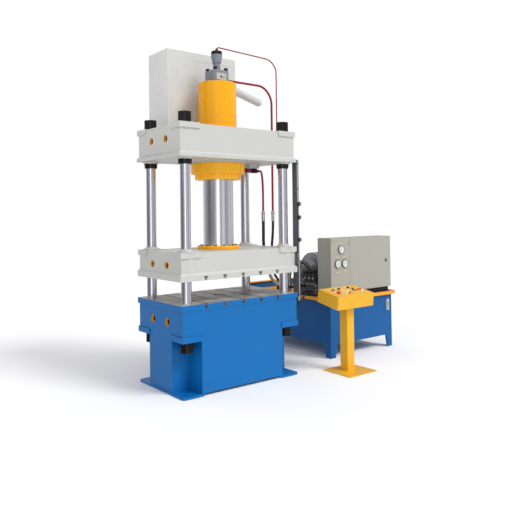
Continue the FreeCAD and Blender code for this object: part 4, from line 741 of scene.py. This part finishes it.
def valve_details():
    """A bare label plate, its rivets and the hexagon at the pilot line's nipple."""
    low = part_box("prefill_valve")[0]
    work = bmesh.new()
    add_box(work, (-0.064, low.y - 0.0016, low.z + 0.026), (0.046, low.y, low.z + 0.088))
    for x in (-0.058, 0.040):
        for z in (0.032, 0.082):
            add_disc(work, 0.003, 0.002, 0.0016, facing((x, low.y - 0.0016, low.z + z), FRONT), 12)
    emblem = facing((-0.012, low.y - 0.0016, low.z + 0.054), FRONT)
    add_disc(work, 0.010, 0.010, 0.002, emblem, 24, 1)
    add_box(work, (0.006, low.y - 0.0022, low.z + 0.046), (0.030, low.y - 0.0014, low.z + 0.062),
            index=2)
    piece("valve_label", work, "plate", "valve_paint", extra=("black_plastic", "motor_grey"))
    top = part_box("valve_fasteners")[1].z
    work = bmesh.new()
    add_hex(work, 0.030, top - 0.002, top + 0.012)
    add_hex(work, 0.022, top + 0.0125, top + 0.026)
    piece("pilot_union", work, "black_oxide", "black_steel", 0.001)


def filling():
    tank_details()
    valve_details()
    finish("tank_cream", "filling_tank", "filling_duct")
    dressed("prefill_valve", "valve_grey", 0.004)
    finish("valve_grey", "pilot_cap")
    dressed("valve_fasteners", "black_oxide", 0.0015)


def add_union(work, place, direction, across, length, index=0):
    """A union nut: a chamfered hexagon with a round collar behind it."""
    matrix = facing(place, direction)
    add_hex(work, across, 0, length * 0.62, matrix, index)
    add_ring(work, (0, across * 0.44, across * 0.40), (length * 0.62, length), matrix, 24, index)


def unions():
    """The union nuts at the ends of the pipes and hoses."""
    valve_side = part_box("prefill_valve")[1].x
    work = bmesh.new()
    add_union(work, (valve_side, 0.010, 2.828), RIGHT, 0.036, 0.034)
    add_union(work, (0.462, 0, 1.967), RIGHT, 0.034, 0.030)
    piece("pressure_unions", work, "red_line", "pipe_red", 0.001)
    work = bmesh.new()
    ferrule_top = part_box("return_hose")[1].z + FERRULE
    for route in (PRESSURE_HOSE, RETURN_HOSE):
        add_union(work, (route[0][0], route[0][1], ferrule_top - 0.004), UP, 0.036, 0.030)
    for route, radius in ((PRESSURE_HOSE, 0.013), (RETURN_HOSE, 0.016),
                          (EJECTOR_HOSE_FRONT, 0.010), (EJECTOR_HOSE_REAR, 0.010)):
        x, y, z = route[-1]
        add_union(work, (x + 0.022, y, z), LEFT, 2.6 * radius + 0.008, 0.020)
    for route in (EJECTOR_HOSE_FRONT, EJECTOR_HOSE_REAR):
        x, y, z = route[0]
        add_union(work, (x - 0.022, y, z), RIGHT, 0.034, 0.020)
    piece("hose_unions", work, "zinc", "pipe_steel", 0.001)


def ferrule_rings():
    """Crimped rings along the two upper hoses' ferrules."""
    work = bmesh.new()
    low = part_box("return_hose")[1].z
    for route, radius in ((PRESSURE_HOSE, 0.016), (RETURN_HOSE, 0.019)):
        for step in range(6):
            foot = low + 0.004 + 0.0115 * step
            add_lathe(work, [(radius - 0.001, foot), (radius + 0.0007, foot + 0.001),
                             (radius + 0.0007, foot + 0.006), (radius - 0.001, foot + 0.007)],
                      at(route[0][0], route[0][1], 0), 28)
    piece("ferrule_rings", work, "zinc", "pipe_steel")


def hoses():
    """The four free hoses, and the pale sleeve round the return hose."""
    work = bmesh.new()
    shown = [point for point in route_points(RETURN_HOSE) if 0.775 < point[2] < 0.985]
    add_tube(work, shown, 0.0182, 20)
    sleeve = piece("return_hose_sleeve", work, "sleeve", "hose_rubber")
    hose("pressure_hose", PRESSURE_HOSE, 0.013)
    hose("return_hose", RETURN_HOSE, 0.016)
    hose("ejector_hose_front", EJECTOR_HOSE_FRONT, 0.010)
    hose("ejector_hose_rear", EJECTOR_HOSE_REAR, 0.010)


def pipework():
    hoses()
    unions()
    ferrule_rings()
    finish("red_line", "pilot_line", "pressure_pipe", "return_pipe")
    ferrule_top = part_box("return_hose")[1].z + FERRULE
    dressed("pipe_fittings", "black_oxide", 0.002, ("zinc",),
            lambda centre, normal: 1 if centre.z < ferrule_top else 0)
    dressed("ejector_cylinder", "blue", 0.002)
    finish("steel", "ejector_rod")


def rail_details():
    """Pale actuators on the switches, their cable and the rail's screws."""
    low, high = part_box("limit_switches")
    middle = (low.x + high.x) / 2
    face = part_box("limit_rail")[0].y
    work = bmesh.new()
    for z in (1.286, 1.502, 1.632):
        add_disc(work, 0.0085, 0.0075, 0.003, facing((middle, low.y, z), FRONT), 24)
    piece("switch_hubs", work, "zinc", "switch_plastic")
    work = bmesh.new()
    add_tube(work, [(middle - 0.012, face - 0.0035, 0.74), (middle - 0.012, face - 0.0035, 1.63)],
             0.003, 10)
    piece("switch_cable", work, "rubber", "switch_plastic")
    work = bmesh.new()
    for z in (0.76, 1.10, 1.44, 1.78, 2.02):
        add_cap_screw(work, 0.006, 0.005, facing((middle - 0.006, face, z), FRONT))
    piece("rail_screws", work, "black_oxide", "black_steel")


def limit_gear():
    rail_details()
    # The rail's faces towards -X take the dark grey as painted shade.
    dressed("limit_rail", "rail_grey", 0.0015, ("dark_grey_and_rail_shade",),
            lambda centre, normal: 1 if normal.x < -0.9 else 0)
    dressed("limit_switches", "black_plastic", 0.0015)
    dressed("trip_bracket", "dark_grey_and_rail_shade", 0.002)


MOTOR_AXIS = (0.345, 0.905)
MOTOR_RADIUS = 0.172


def motor_details():
    """Cooling fins, end rings, the fan cowl's grille, the terminal lid and a lifting eye."""
    y, z = MOTOR_AXIS
    work = bmesh.new()
    for step in range(40):
        turn = math.tau * step / 40
        across, up = math.cos(turn), math.sin(turn)
        if up < -0.40 or (across < -0.50 and 0.02 < up < 0.76):
            continue
        matrix = at(0, y, z) @ Matrix.Rotation(turn, 4, "X")
        add_box(work, (1.568, MOTOR_RADIUS - 0.002, -0.0018), (1.966, MOTOR_RADIUS + 0.014, 0.0018),
                matrix)
    axis = facing((0, y, z), RIGHT)
    rim = MOTOR_RADIUS + 0.012
    for foot, head in ((1.540, 1.562), (1.972, 1.990), (2.040, 2.050)):
        add_ring(work, (MOTOR_RADIUS - 0.002, rim, rim), (foot, head), axis, 64)
    piece("motor_fins", work, "motor_grey", "motor_paint")
    work = bmesh.new()
    cowl = facing((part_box("motor_housing")[1].x, y, z), RIGHT)
    for radius in (0.040, 0.072, 0.104, 0.136, 0.162):
        add_ring(work, (radius - 0.003, radius + 0.003, radius + 0.003), (-0.001, 0.004), cowl, 56)
    for step in range(12):
        matrix = cowl @ Matrix.Rotation(math.pi * step / 6, 4, "Z")
        add_box(work, (0.038, -0.0025, -0.001), (0.165, 0.0025, 0.0035), matrix)
    piece("fan_grille", work, "iron", "motor_paint")
    work = bmesh.new()
    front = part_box("motor_housing")[0].y
    add_box(work, (1.654, front - 0.006, 0.919), (1.866, front, 1.031))
    for x in (1.664, 1.856):
        for level in (0.929, 1.021):
            add_cap_screw(work, 0.005, 0.004, facing((x, front - 0.006, level), FRONT), 1)
    add_lathe(work, [(0, 0), (0.014, 0), (0.014, 0.012), (0.010, 0.022), (0, 0.022)],
              facing((1.70, front + 0.05, 0.926), (0, 0, -1)), 24, 1)
    piece("terminal_lid", work, "motor_grey", "motor_paint", 0.002, ("black_plastic",))
    work = bmesh.new()
    top = z + MOTOR_RADIUS
    eye = [(1.76 + 0.020 * math.cos(turn), y, top + 0.030 + 0.020 * math.sin(turn))
           for turn in (math.tau * k / 24 for k in range(25))]
    add_tube(work, eye, 0.006, 12)
    add_lathe(work, [(0, 0), (0.016, 0), (0.016, 0.006), (0.008, 0.012), (0, 0.012)],
              at(1.76, y, top - 0.001), 24)
    piece("motor_eye", work, "zinc", "motor_paint")


def pump_details():
    """The pump's end cover, its screws, the bell's bolts and the pilot hose."""
    low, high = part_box("pump")
    y, z = MOTOR_AXIS
    work = bmesh.new()
    add_lathe(work, [(0.040, 0), (0.060, 0), (0.060, 0.008), (0.040, 0.010)],
              facing((low.x, y, z), LEFT), 40)
    add_disc(work, 0.030, 0.026, 0.014, facing((low.x, y, z), LEFT), 32, 1)
    for place in ring_places(6, 0.050, (low.x - 0.009, y, z), LEFT):
        add_cap_screw(work, 0.006, 0.006, place, 1)
    for place in ring_places(8, 0.104, (high.x - 0.006, y, z), LEFT, math.pi / 8):
        add_hex_bolt(work, 0.016, place, 1)
    for x in (1.360, 1.404):
        add_hex_bolt(work, 0.018, facing((x, y, high.z - 0.020), UP), 1)
    piece("pump_cover", work, "zinc", "pump_iron", extra=("black_oxide",))
    solenoid_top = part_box("solenoid_valves")[1].z
    work = bmesh.new()
    route = bent([(1.352, 0.312, 0.962), (1.338, 0.290, 1.000),
                  (1.352, 0.150, solenoid_top + 0.030), (1.352, 0.150, solenoid_top)], 0.040)
    add_tube(work, route, 0.010, 14)
    piece("pilot_hose", work, "rubber", "hose_rubber")
    work = bmesh.new()
    add_union(work, route[-1], UP, 0.026, 0.022)
    add_union(work, route[0], (-0.55, -0.5, 0.67), 0.026, 0.018)
    piece("pilot_hose_unions", work, "zinc", "pipe_steel", 0.001)


def valve_bank():
    """Coil nuts, plugs and connectors on the solenoid valves, and the block's plugs."""
    low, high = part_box("solenoid_valves")
    rows = (0.091, 0.149, 0.207)
    level = (low.z + high.z) / 2
    work = bmesh.new()
    for y in rows:
        for x, side in ((low.x, LEFT), (high.x, RIGHT)):
            add_lathe(work, [(0, 0), (0.013, 0), (0.013, 0.010), (0.007, 0.014), (0, 0.014)],
                      facing((x, y, level), side), 24)
    piece("coil_nuts", work, "zinc", "solenoid_black")
    work = bmesh.new()
    for y in rows:
        for x in (1.345, 1.461):
            add_box(work, (x - 0.016, y - 0.014, high.z), (x + 0.016, y + 0.014, high.z + 0.026))
            add_disc(work, 0.008, 0.006, 0.016, facing((x - 0.016, y, high.z + 0.013), LEFT), 16)
            add_disc(work, 0.003, 0.003, 0.002, at(x, y, high.z + 0.026), 12, 1)
        for x in (1.372, 1.434):
            add_box(work, (x - 0.0015, y - 0.0236, low.z + 0.004),
                    (x + 0.0015, y + 0.0236, high.z + 0.0006), index=1)
    piece("coil_plugs", work, "black_plastic", "solenoid_black", 0.001, ("zinc",))
    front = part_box("valve_manifold")[0].y
    face = 1.330
    work = bmesh.new()
    for y in (0.080, 0.130, 0.180, 0.300):
        add_hex_bolt(work, 0.022, facing((face, y, 0.764), LEFT))
    for x in (1.360, 1.400, 1.440):
        add_hex_bolt(work, 0.022, facing((x, front, 0.690), FRONT))
    add_union(work, (1.400, front, 0.744), FRONT, 0.034, 0.040)
    add_lathe(work, [(0, 0.036), (0.016, 0.036), (0.018, 0.042), (0.018, 0.058), (0, 0.058)],
              facing((1.400, front, 0.744), FRONT), 24, 1)
    piece("block_plugs", work, "zinc", "pipe_steel", extra=("black_plastic",))
    work = bmesh.new()
    bend = 1.345 - 0.034
    for z in (0.700, 0.740, 0.664):
        route = [(face + 0.004, 0.066, z), (bend, 0.066, z), (bend, 0.044, z),
                 (1.352, 0.040, z + 0.03), (1.352, 0.020, z + 0.03)]
        add_tube(work, bent(route, 0.012), 0.0045, 10)
    piece("gauge_lines", work, "zinc", "pipe_steel")


def tank_fitting_details():
    """The filter's lid bolts, the breather's ribs, the sight glass and the cover's bolts."""
    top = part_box("tank_fittings")[1].z
    work = bmesh.new()
    for place in ring_places(6, 0.052, (1.560, 0.900, top), UP):
        add_hex_bolt(work, 0.013, place)
    for place in ring_places(24, 0.0462, (2.180, 0.900, 0.660), UP):
        add_box(work, (-0.0018, -0.0018, 0), (0.0018, 0.0018, 0.034), place, 1)
    piece("fitting_details", work, "zinc", "black_steel", extra=("black_plastic",))
    low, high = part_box("level_gauge")
    work = bmesh.new()
    add_box(work, (low.x + 0.014, low.y - 0.0012, low.z + 0.022),
            (high.x - 0.014, low.y + 0.001, high.z - 0.022), index=1)
    for z in (low.z + 0.010, high.z - 0.010):
        add_cap_screw(work, 0.007, 0.004, facing(((low.x + high.x) / 2, low.y, z), FRONT), 0)
    for step in range(5):
        z = low.z + 0.030 + 0.016 * step
        add_box(work, (low.x + 0.005, low.y - 0.0010, z),
                (low.x + 0.011, low.y + 0.001, z + 0.0012), index=1)
    piece("sight_marks", work, "zinc", "sight_glass", extra=("black_plastic",))
    low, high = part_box("tank_cover")
    plate = 0.612
    work = bmesh.new()
    for step in range(7):
        y = 0.10 + 0.16 * step
        add_hex_bolt(work, 0.016, at(high.x - 0.062, y, plate))
        if y > 0.42:
            add_hex_bolt(work, 0.016, at(low.x + 0.062, y, plate))
    piece("cover_bolts", work, "zinc", "cover_paint")


def power_unit():
    motor_details()
    pump_details()
    valve_bank()
    tank_fitting_details()
    dressed("oil_tank", "tank_blue", 0.003)
    rim_top = 0.640
    lip_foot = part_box("tank_cover")[1].z - 0.0125
    dressed("tank_cover", "orange", 0.003, ("tank_blue",),
            lambda centre, normal: 1 if rim_top - 0.001 < centre.z < lip_foot else 0)
    dressed("level_gauge", "oil_glass", 0.002)
    dressed("tank_fittings", "black_oxide", 0.003)
    dressed("motor_housing", "motor_grey", 0.004)
    finish("steel", "motor_rotor")
    dressed("pump", "iron", 0.004)
    dressed("valve_manifold", "dark_steel", 0.003)
    dressed("solenoid_valves", "coil_plastic", 0.003)
    finish("zinc", "pump_pipes")


GAUGES = {"main": (1.480, 1.147), "return": (1.425, 0.995), "ejector": (1.533, 0.995)}
DIAL_PLANE = -0.1810
CABINET_FACE = -0.176


def add_numeral(work, words, place, height, index):
    """Flat figures that stand upright and face the front."""
    data = bpy.data.curves.new("figures", "FONT")
    data.body = words
    data.size = height
    data.align_x = "CENTER"
    data.align_y = "CENTER"
    data.extrude = 0.0001
    data.resolution_u = 3
    holder = add_object("figures", data)
    mesh = evaluated(holder)
    mesh.transform(Matrix.Translation(place) @ Matrix.Rotation(math.pi / 2, 4, "X"))
    first = len(work.faces)
    work.from_mesh(mesh)
    work.faces.ensure_lookup_table()
    for face in work.faces[first:]:
        face.material_index = index
    bpy.data.objects.remove(holder)
    bpy.data.meshes.remove(mesh)


def gauge_dials():
    """White dials with a scale over 270 degrees and plain numbers."""
    work = bmesh.new()
    for x, z in GAUGES.values():
        dial = facing((x, DIAL_PLANE - 0.0004, z), FRONT)
        add_ring(work, (0, 0.0394, 0.0394), (-0.0003, 0.0003), dial, 48)
        for step in range(31):
            turn = math.radians(225 - 9 * step)
            long = step % 6 == 0
            matrix = (at(x, DIAL_PLANE - 0.0008, z) @ Matrix.Rotation(-turn, 4, "Y"))
            add_box(work, (0.0300 if long else 0.0335, -0.0002, -0.0006 if long else -0.0003),
                    (0.0375, 0.0002, 0.0006 if long else 0.0003), matrix, 1)
            if long:
                reach = 0.0235
                add_numeral(work, str(step // 6 * 5), (x + reach * math.cos(turn),
                                                       DIAL_PLANE - 0.0009,
                                                       z + reach * math.sin(turn)), 0.0075, 1)
    piece("gauge_dials", work, "dial_white", "gauge_case", extra=("black_plastic",))


def cabinet_details():
    """Bezels, bare label plates, panel screws and the lock's escutcheon."""
    work = bmesh.new()
    for x, z in GAUGES.values():
        add_lathe(work, [(0.0402, 0.0005), (0.0455, 0.0005), (0.0470, 0.006), (0.0440, 0.0145),
                         (0.0402, 0.0155)], facing((x, CABINET_FACE, z), FRONT), 48)
        for place in ring_places(3, 0.0515, (x, CABINET_FACE, z), FRONT, math.pi / 2):
            add_disc(work, 0.003, 0.002, 0.0022, place, 12)
    piece("gauge_bezels", work, "steel", "gauge_case")
    work = bmesh.new()
    for x, z in ((1.480, 1.208), (1.425, 1.064), (1.533, 1.064), (1.425, 0.904), (1.545, 0.910)):
        add_box(work, (x - 0.021, CABINET_FACE - 0.0015, z - 0.009),
                (x + 0.021, CABINET_FACE, z + 0.009))
    piece("label_plates", work, "plate", "cabinet_paint", 0.0004)
    work = bmesh.new()
    for x, z in ((1.598, 1.206), (1.598, 0.778), (1.350, 1.250), (1.350, 0.712)):
        add_lathe(work, [(0, 0.001), (0.0022, 0.001), (0.0024, 0.003), (0.0068, 0.003),
                         (0.0075, 0), (0, 0)], facing((x, CABINET_FACE, z), FRONT), 20)
    piece("panel_screws", work, "steel", "cabinet_paint")
    low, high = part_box("door_lock")
    x, z = (low.x + high.x) / 2, 0.994
    work = bmesh.new()
    lock = facing((x, CABINET_FACE, z), FRONT)
    add_ring(work, (0.0135, 0.021, 0.020), (0.0003, 0.0026), lock, 32)
    piece("lock_escutcheon", work, "black_plastic", "cabinet_paint", body="door")
    # Painted shade: a black box on the lock stands for the shade inside the key slot.
    work = bmesh.new()
    add_box(work, (x - 0.002, low.y - 0.0008, z - 0.008), (x + 0.002, low.y + 0.0005, z + 0.008))
    piece("key_slot_painted_shade", work, "black_plastic", "lock_chrome", body="lock")


def cabinet():
    gauge_dials()
    cabinet_details()
    plinth_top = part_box("cabinet_door")[0].z - 0.0015
    dressed("cabinet", "beige", 0.002, ("plinth_black",),
            lambda centre, normal: 1 if centre.z < plinth_top else 0)
    dressed("cabinet_door", "beige", 0.003)
    dressed("door_lock", "chrome", 0.001)
    dressed("pressure_gauges", "chrome", 0.001)
    finish("glass", "gauge_glasses")
    finish("black_plastic", *(f"gauge_pointer_{name}" for name in GAUGES))


CONSOLE_FRONT = (-0.730, 0.750)
CONSOLE_BACK = (-0.469, 0.801)
CONSOLE_SLOPE = math.atan2(CONSOLE_BACK[1] - CONSOLE_FRONT[1], CONSOLE_BACK[0] - CONSOLE_FRONT[0])


def on_console(x, y):
    """A matrix on the console's sloping top, with Z along the top's normal."""
    z = CONSOLE_FRONT[1] + math.tan(CONSOLE_SLOPE) * (y - CONSOLE_FRONT[0])
    return at(x, y, z) @ Matrix.Rotation(CONSOLE_SLOPE, 4, "X")


def console_details():
    """Collars and bare label plates of the buttons, the pilot lamps and the lid's screws."""
    work = bmesh.new()
    add_ring(work, (0.0150, 0.0195, 0.0190), (0.0002, 0.0030), on_console(0.946, -0.640), 36)
    for x, y in ((0.962, -0.548), (1.054, -0.536), (1.196, -0.526), (1.196, -0.608)):
        add_ring(work, (0.0150, 0.0195, 0.0185), (0.0002, 0.004), on_console(x, y), 36)
    for x, y in ((0.875, -0.495), (1.327, -0.495), (0.875, -0.705), (1.327, -0.705)):
        add_cap_screw(work, 0.005, 0.003, on_console(x, y))
    piece("button_collars", work, "zinc", "console_paint")
    work = bmesh.new()
    for x, y in ((0.962, -0.518), (1.054, -0.506), (1.196, -0.498), (1.196, -0.574),
                 (0.946, -0.606), (1.090, -0.564), (1.034, -0.621)):
        add_box(work, (-0.020, -0.006, 0.0002), (0.020, 0.006, 0.0012), on_console(x, y))
    piece("console_plates", work, "white_plastic", "console_paint", 0.0003)
    lamps = {"red": ((1.078, -0.661), (1.249, -0.606), (1.296, -0.599)),
             "white": ((1.100, -0.612), (1.275, -0.640), (1.034, -0.655))}
    for colour, places in lamps.items():
        work = bmesh.new()
        for x, y in places:
            add_lathe(work, [(0, 0.0002), (0.0125, 0.0002), (0.0125, 0.004), (0.0100, 0.005),
                             (0.0094, 0.011), (0.0060, 0.0145), (0, 0.0155)], on_console(x, y), 32)
        piece(f"{colour}_lamps", work, f"{colour}_plastic",
              "button_red" if colour == "red" else "console_paint")
    x, y, half = 1.110, -0.590, 0.050
    work = bmesh.new()
    add_weld(work, (x - half, y - half), (x + half, y + half), 0.0105)
    piece("post_weld", work, "amber", "console_paint")


def console():
    console_details()
    dressed("console_stand", "amber", 0.002)
    dressed("console_box", "amber", 0.003)
    dressed("green_button", "green_plastic", 0.0015)
    for node in ("black_button_left", "black_button_right", "selector_switch"):
        dressed(node, "black_plastic", 0.0015)
    dressed("emergency_stop", "red_plastic", 0.004)


# Stage and light --------------------------

FLOOR_REACH = 60
BACKDROP = 1.02
# The room's brightness by compass angle, as shares of a turn: a narrow window behind the
# camera and darker walls at its sides, which the chrome shows as upright bands.
ROOM_BANDS = [(0.00, 0.22), (0.06, 0.34), (0.115, 0.75), (0.140, 2.3), (0.162, 2.1),
              (0.185, 0.62), (0.21, 0.34), (0.235, 0.80), (0.27, 0.86), (0.31, 0.40),
              (0.36, 0.46), (0.44, 0.90), (0.54, 0.70), (0.62, 0.55), (0.70, 0.62),
              (0.78, 0.80), (0.84, 0.42), (0.90, 0.20), (0.95, 0.16), (1.00, 0.22)]


def add_lamp(name, kind, energy, **settings):
    data = bpy.data.lights.new(name, kind)
    data.energy = energy
    for setting, value in settings.items():
        setattr(data, setting, value)
    return add_object(name, data)


def sun(name, origin, strength, softness):
    """An even light that shines from the origin's direction."""
    lamp = add_lamp(name, "SUN", strength, angle=math.radians(softness))
    lamp.matrix_world = (-Vector(origin)).to_track_quat("-Z", "Y").to_matrix().to_4x4()


def pale_floor():
    work = bmesh.new()
    add_box(work, (-FLOOR_REACH, -FLOOR_REACH, -0.05), (FLOOR_REACH, FLOOR_REACH, -0.0005))
    mesh = mesh_of(work, "floor")
    floor = add_object("floor", mesh)
    nodes = material_nodes("floor")
    nodes.colour(nodes.tones(nodes.noise(0.6, 3), (0.920, 0.920, 0.922, 1),
                             (0.935, 0.935, 0.933, 1)))
    nodes.set(Roughness=0.9, Specular_IOR_Level=0.1)
    mesh.materials.append(MATERIALS["floor"])
    floor.visible_glossy = False


def room():
    """A world that lights with upright bands and shows the camera an even pale tone."""
    world = bpy.data.worlds.new("studio")
    scene.world = world
    nodes = Nodes(world, "Background", "Generated")
    parts = nodes.new("SeparateXYZ", Vector=nodes.place).outputs
    angle = nodes.combine("ARCTAN2", parts["Y"], parts["X"])
    bands = nodes.ramp(nodes.spread(angle, 0, 1, -math.pi, math.pi),
                       [(place, (tone, tone, tone * 1.03, 1)) for place, tone in ROOM_BANDS])
    to_camera = nodes.new("LightPath").outputs["Is Camera Ray"]
    nodes.set(Color=nodes.mix(to_camera, bands, (BACKDROP, BACKDROP, BACKDROP, 1)))


def side_window():
    """A broad soft lamp behind the left end, which the tank's side mirrors."""
    lamp = add_lamp("side_window", "AREA", 26, shape="RECTANGLE", size=1.6, size_y=2.4)
    place = Vector((-3.4, 3.9, 3.9))
    aim = Vector((-0.4, 0.4, 2.5))
    lamp.matrix_world = (Matrix.Translation(place)
                         @ (aim - place).to_track_quat("-Z", "Y").to_matrix().to_4x4())
    lamp.visible_camera = False


def studio():
    pale_floor()
    room()
    side_window()
    sun("key", (0.30, -0.62, 0.72), 1.9, 24)
    sun("side", (-0.90, -0.10, 0.45), 0.34, 40)
    scene.view_settings.view_transform = "Standard"


for make in (press_frame, main_cylinder, filling, pipework, limit_gear, power_unit, cabinet,
             console, studio):
    make()
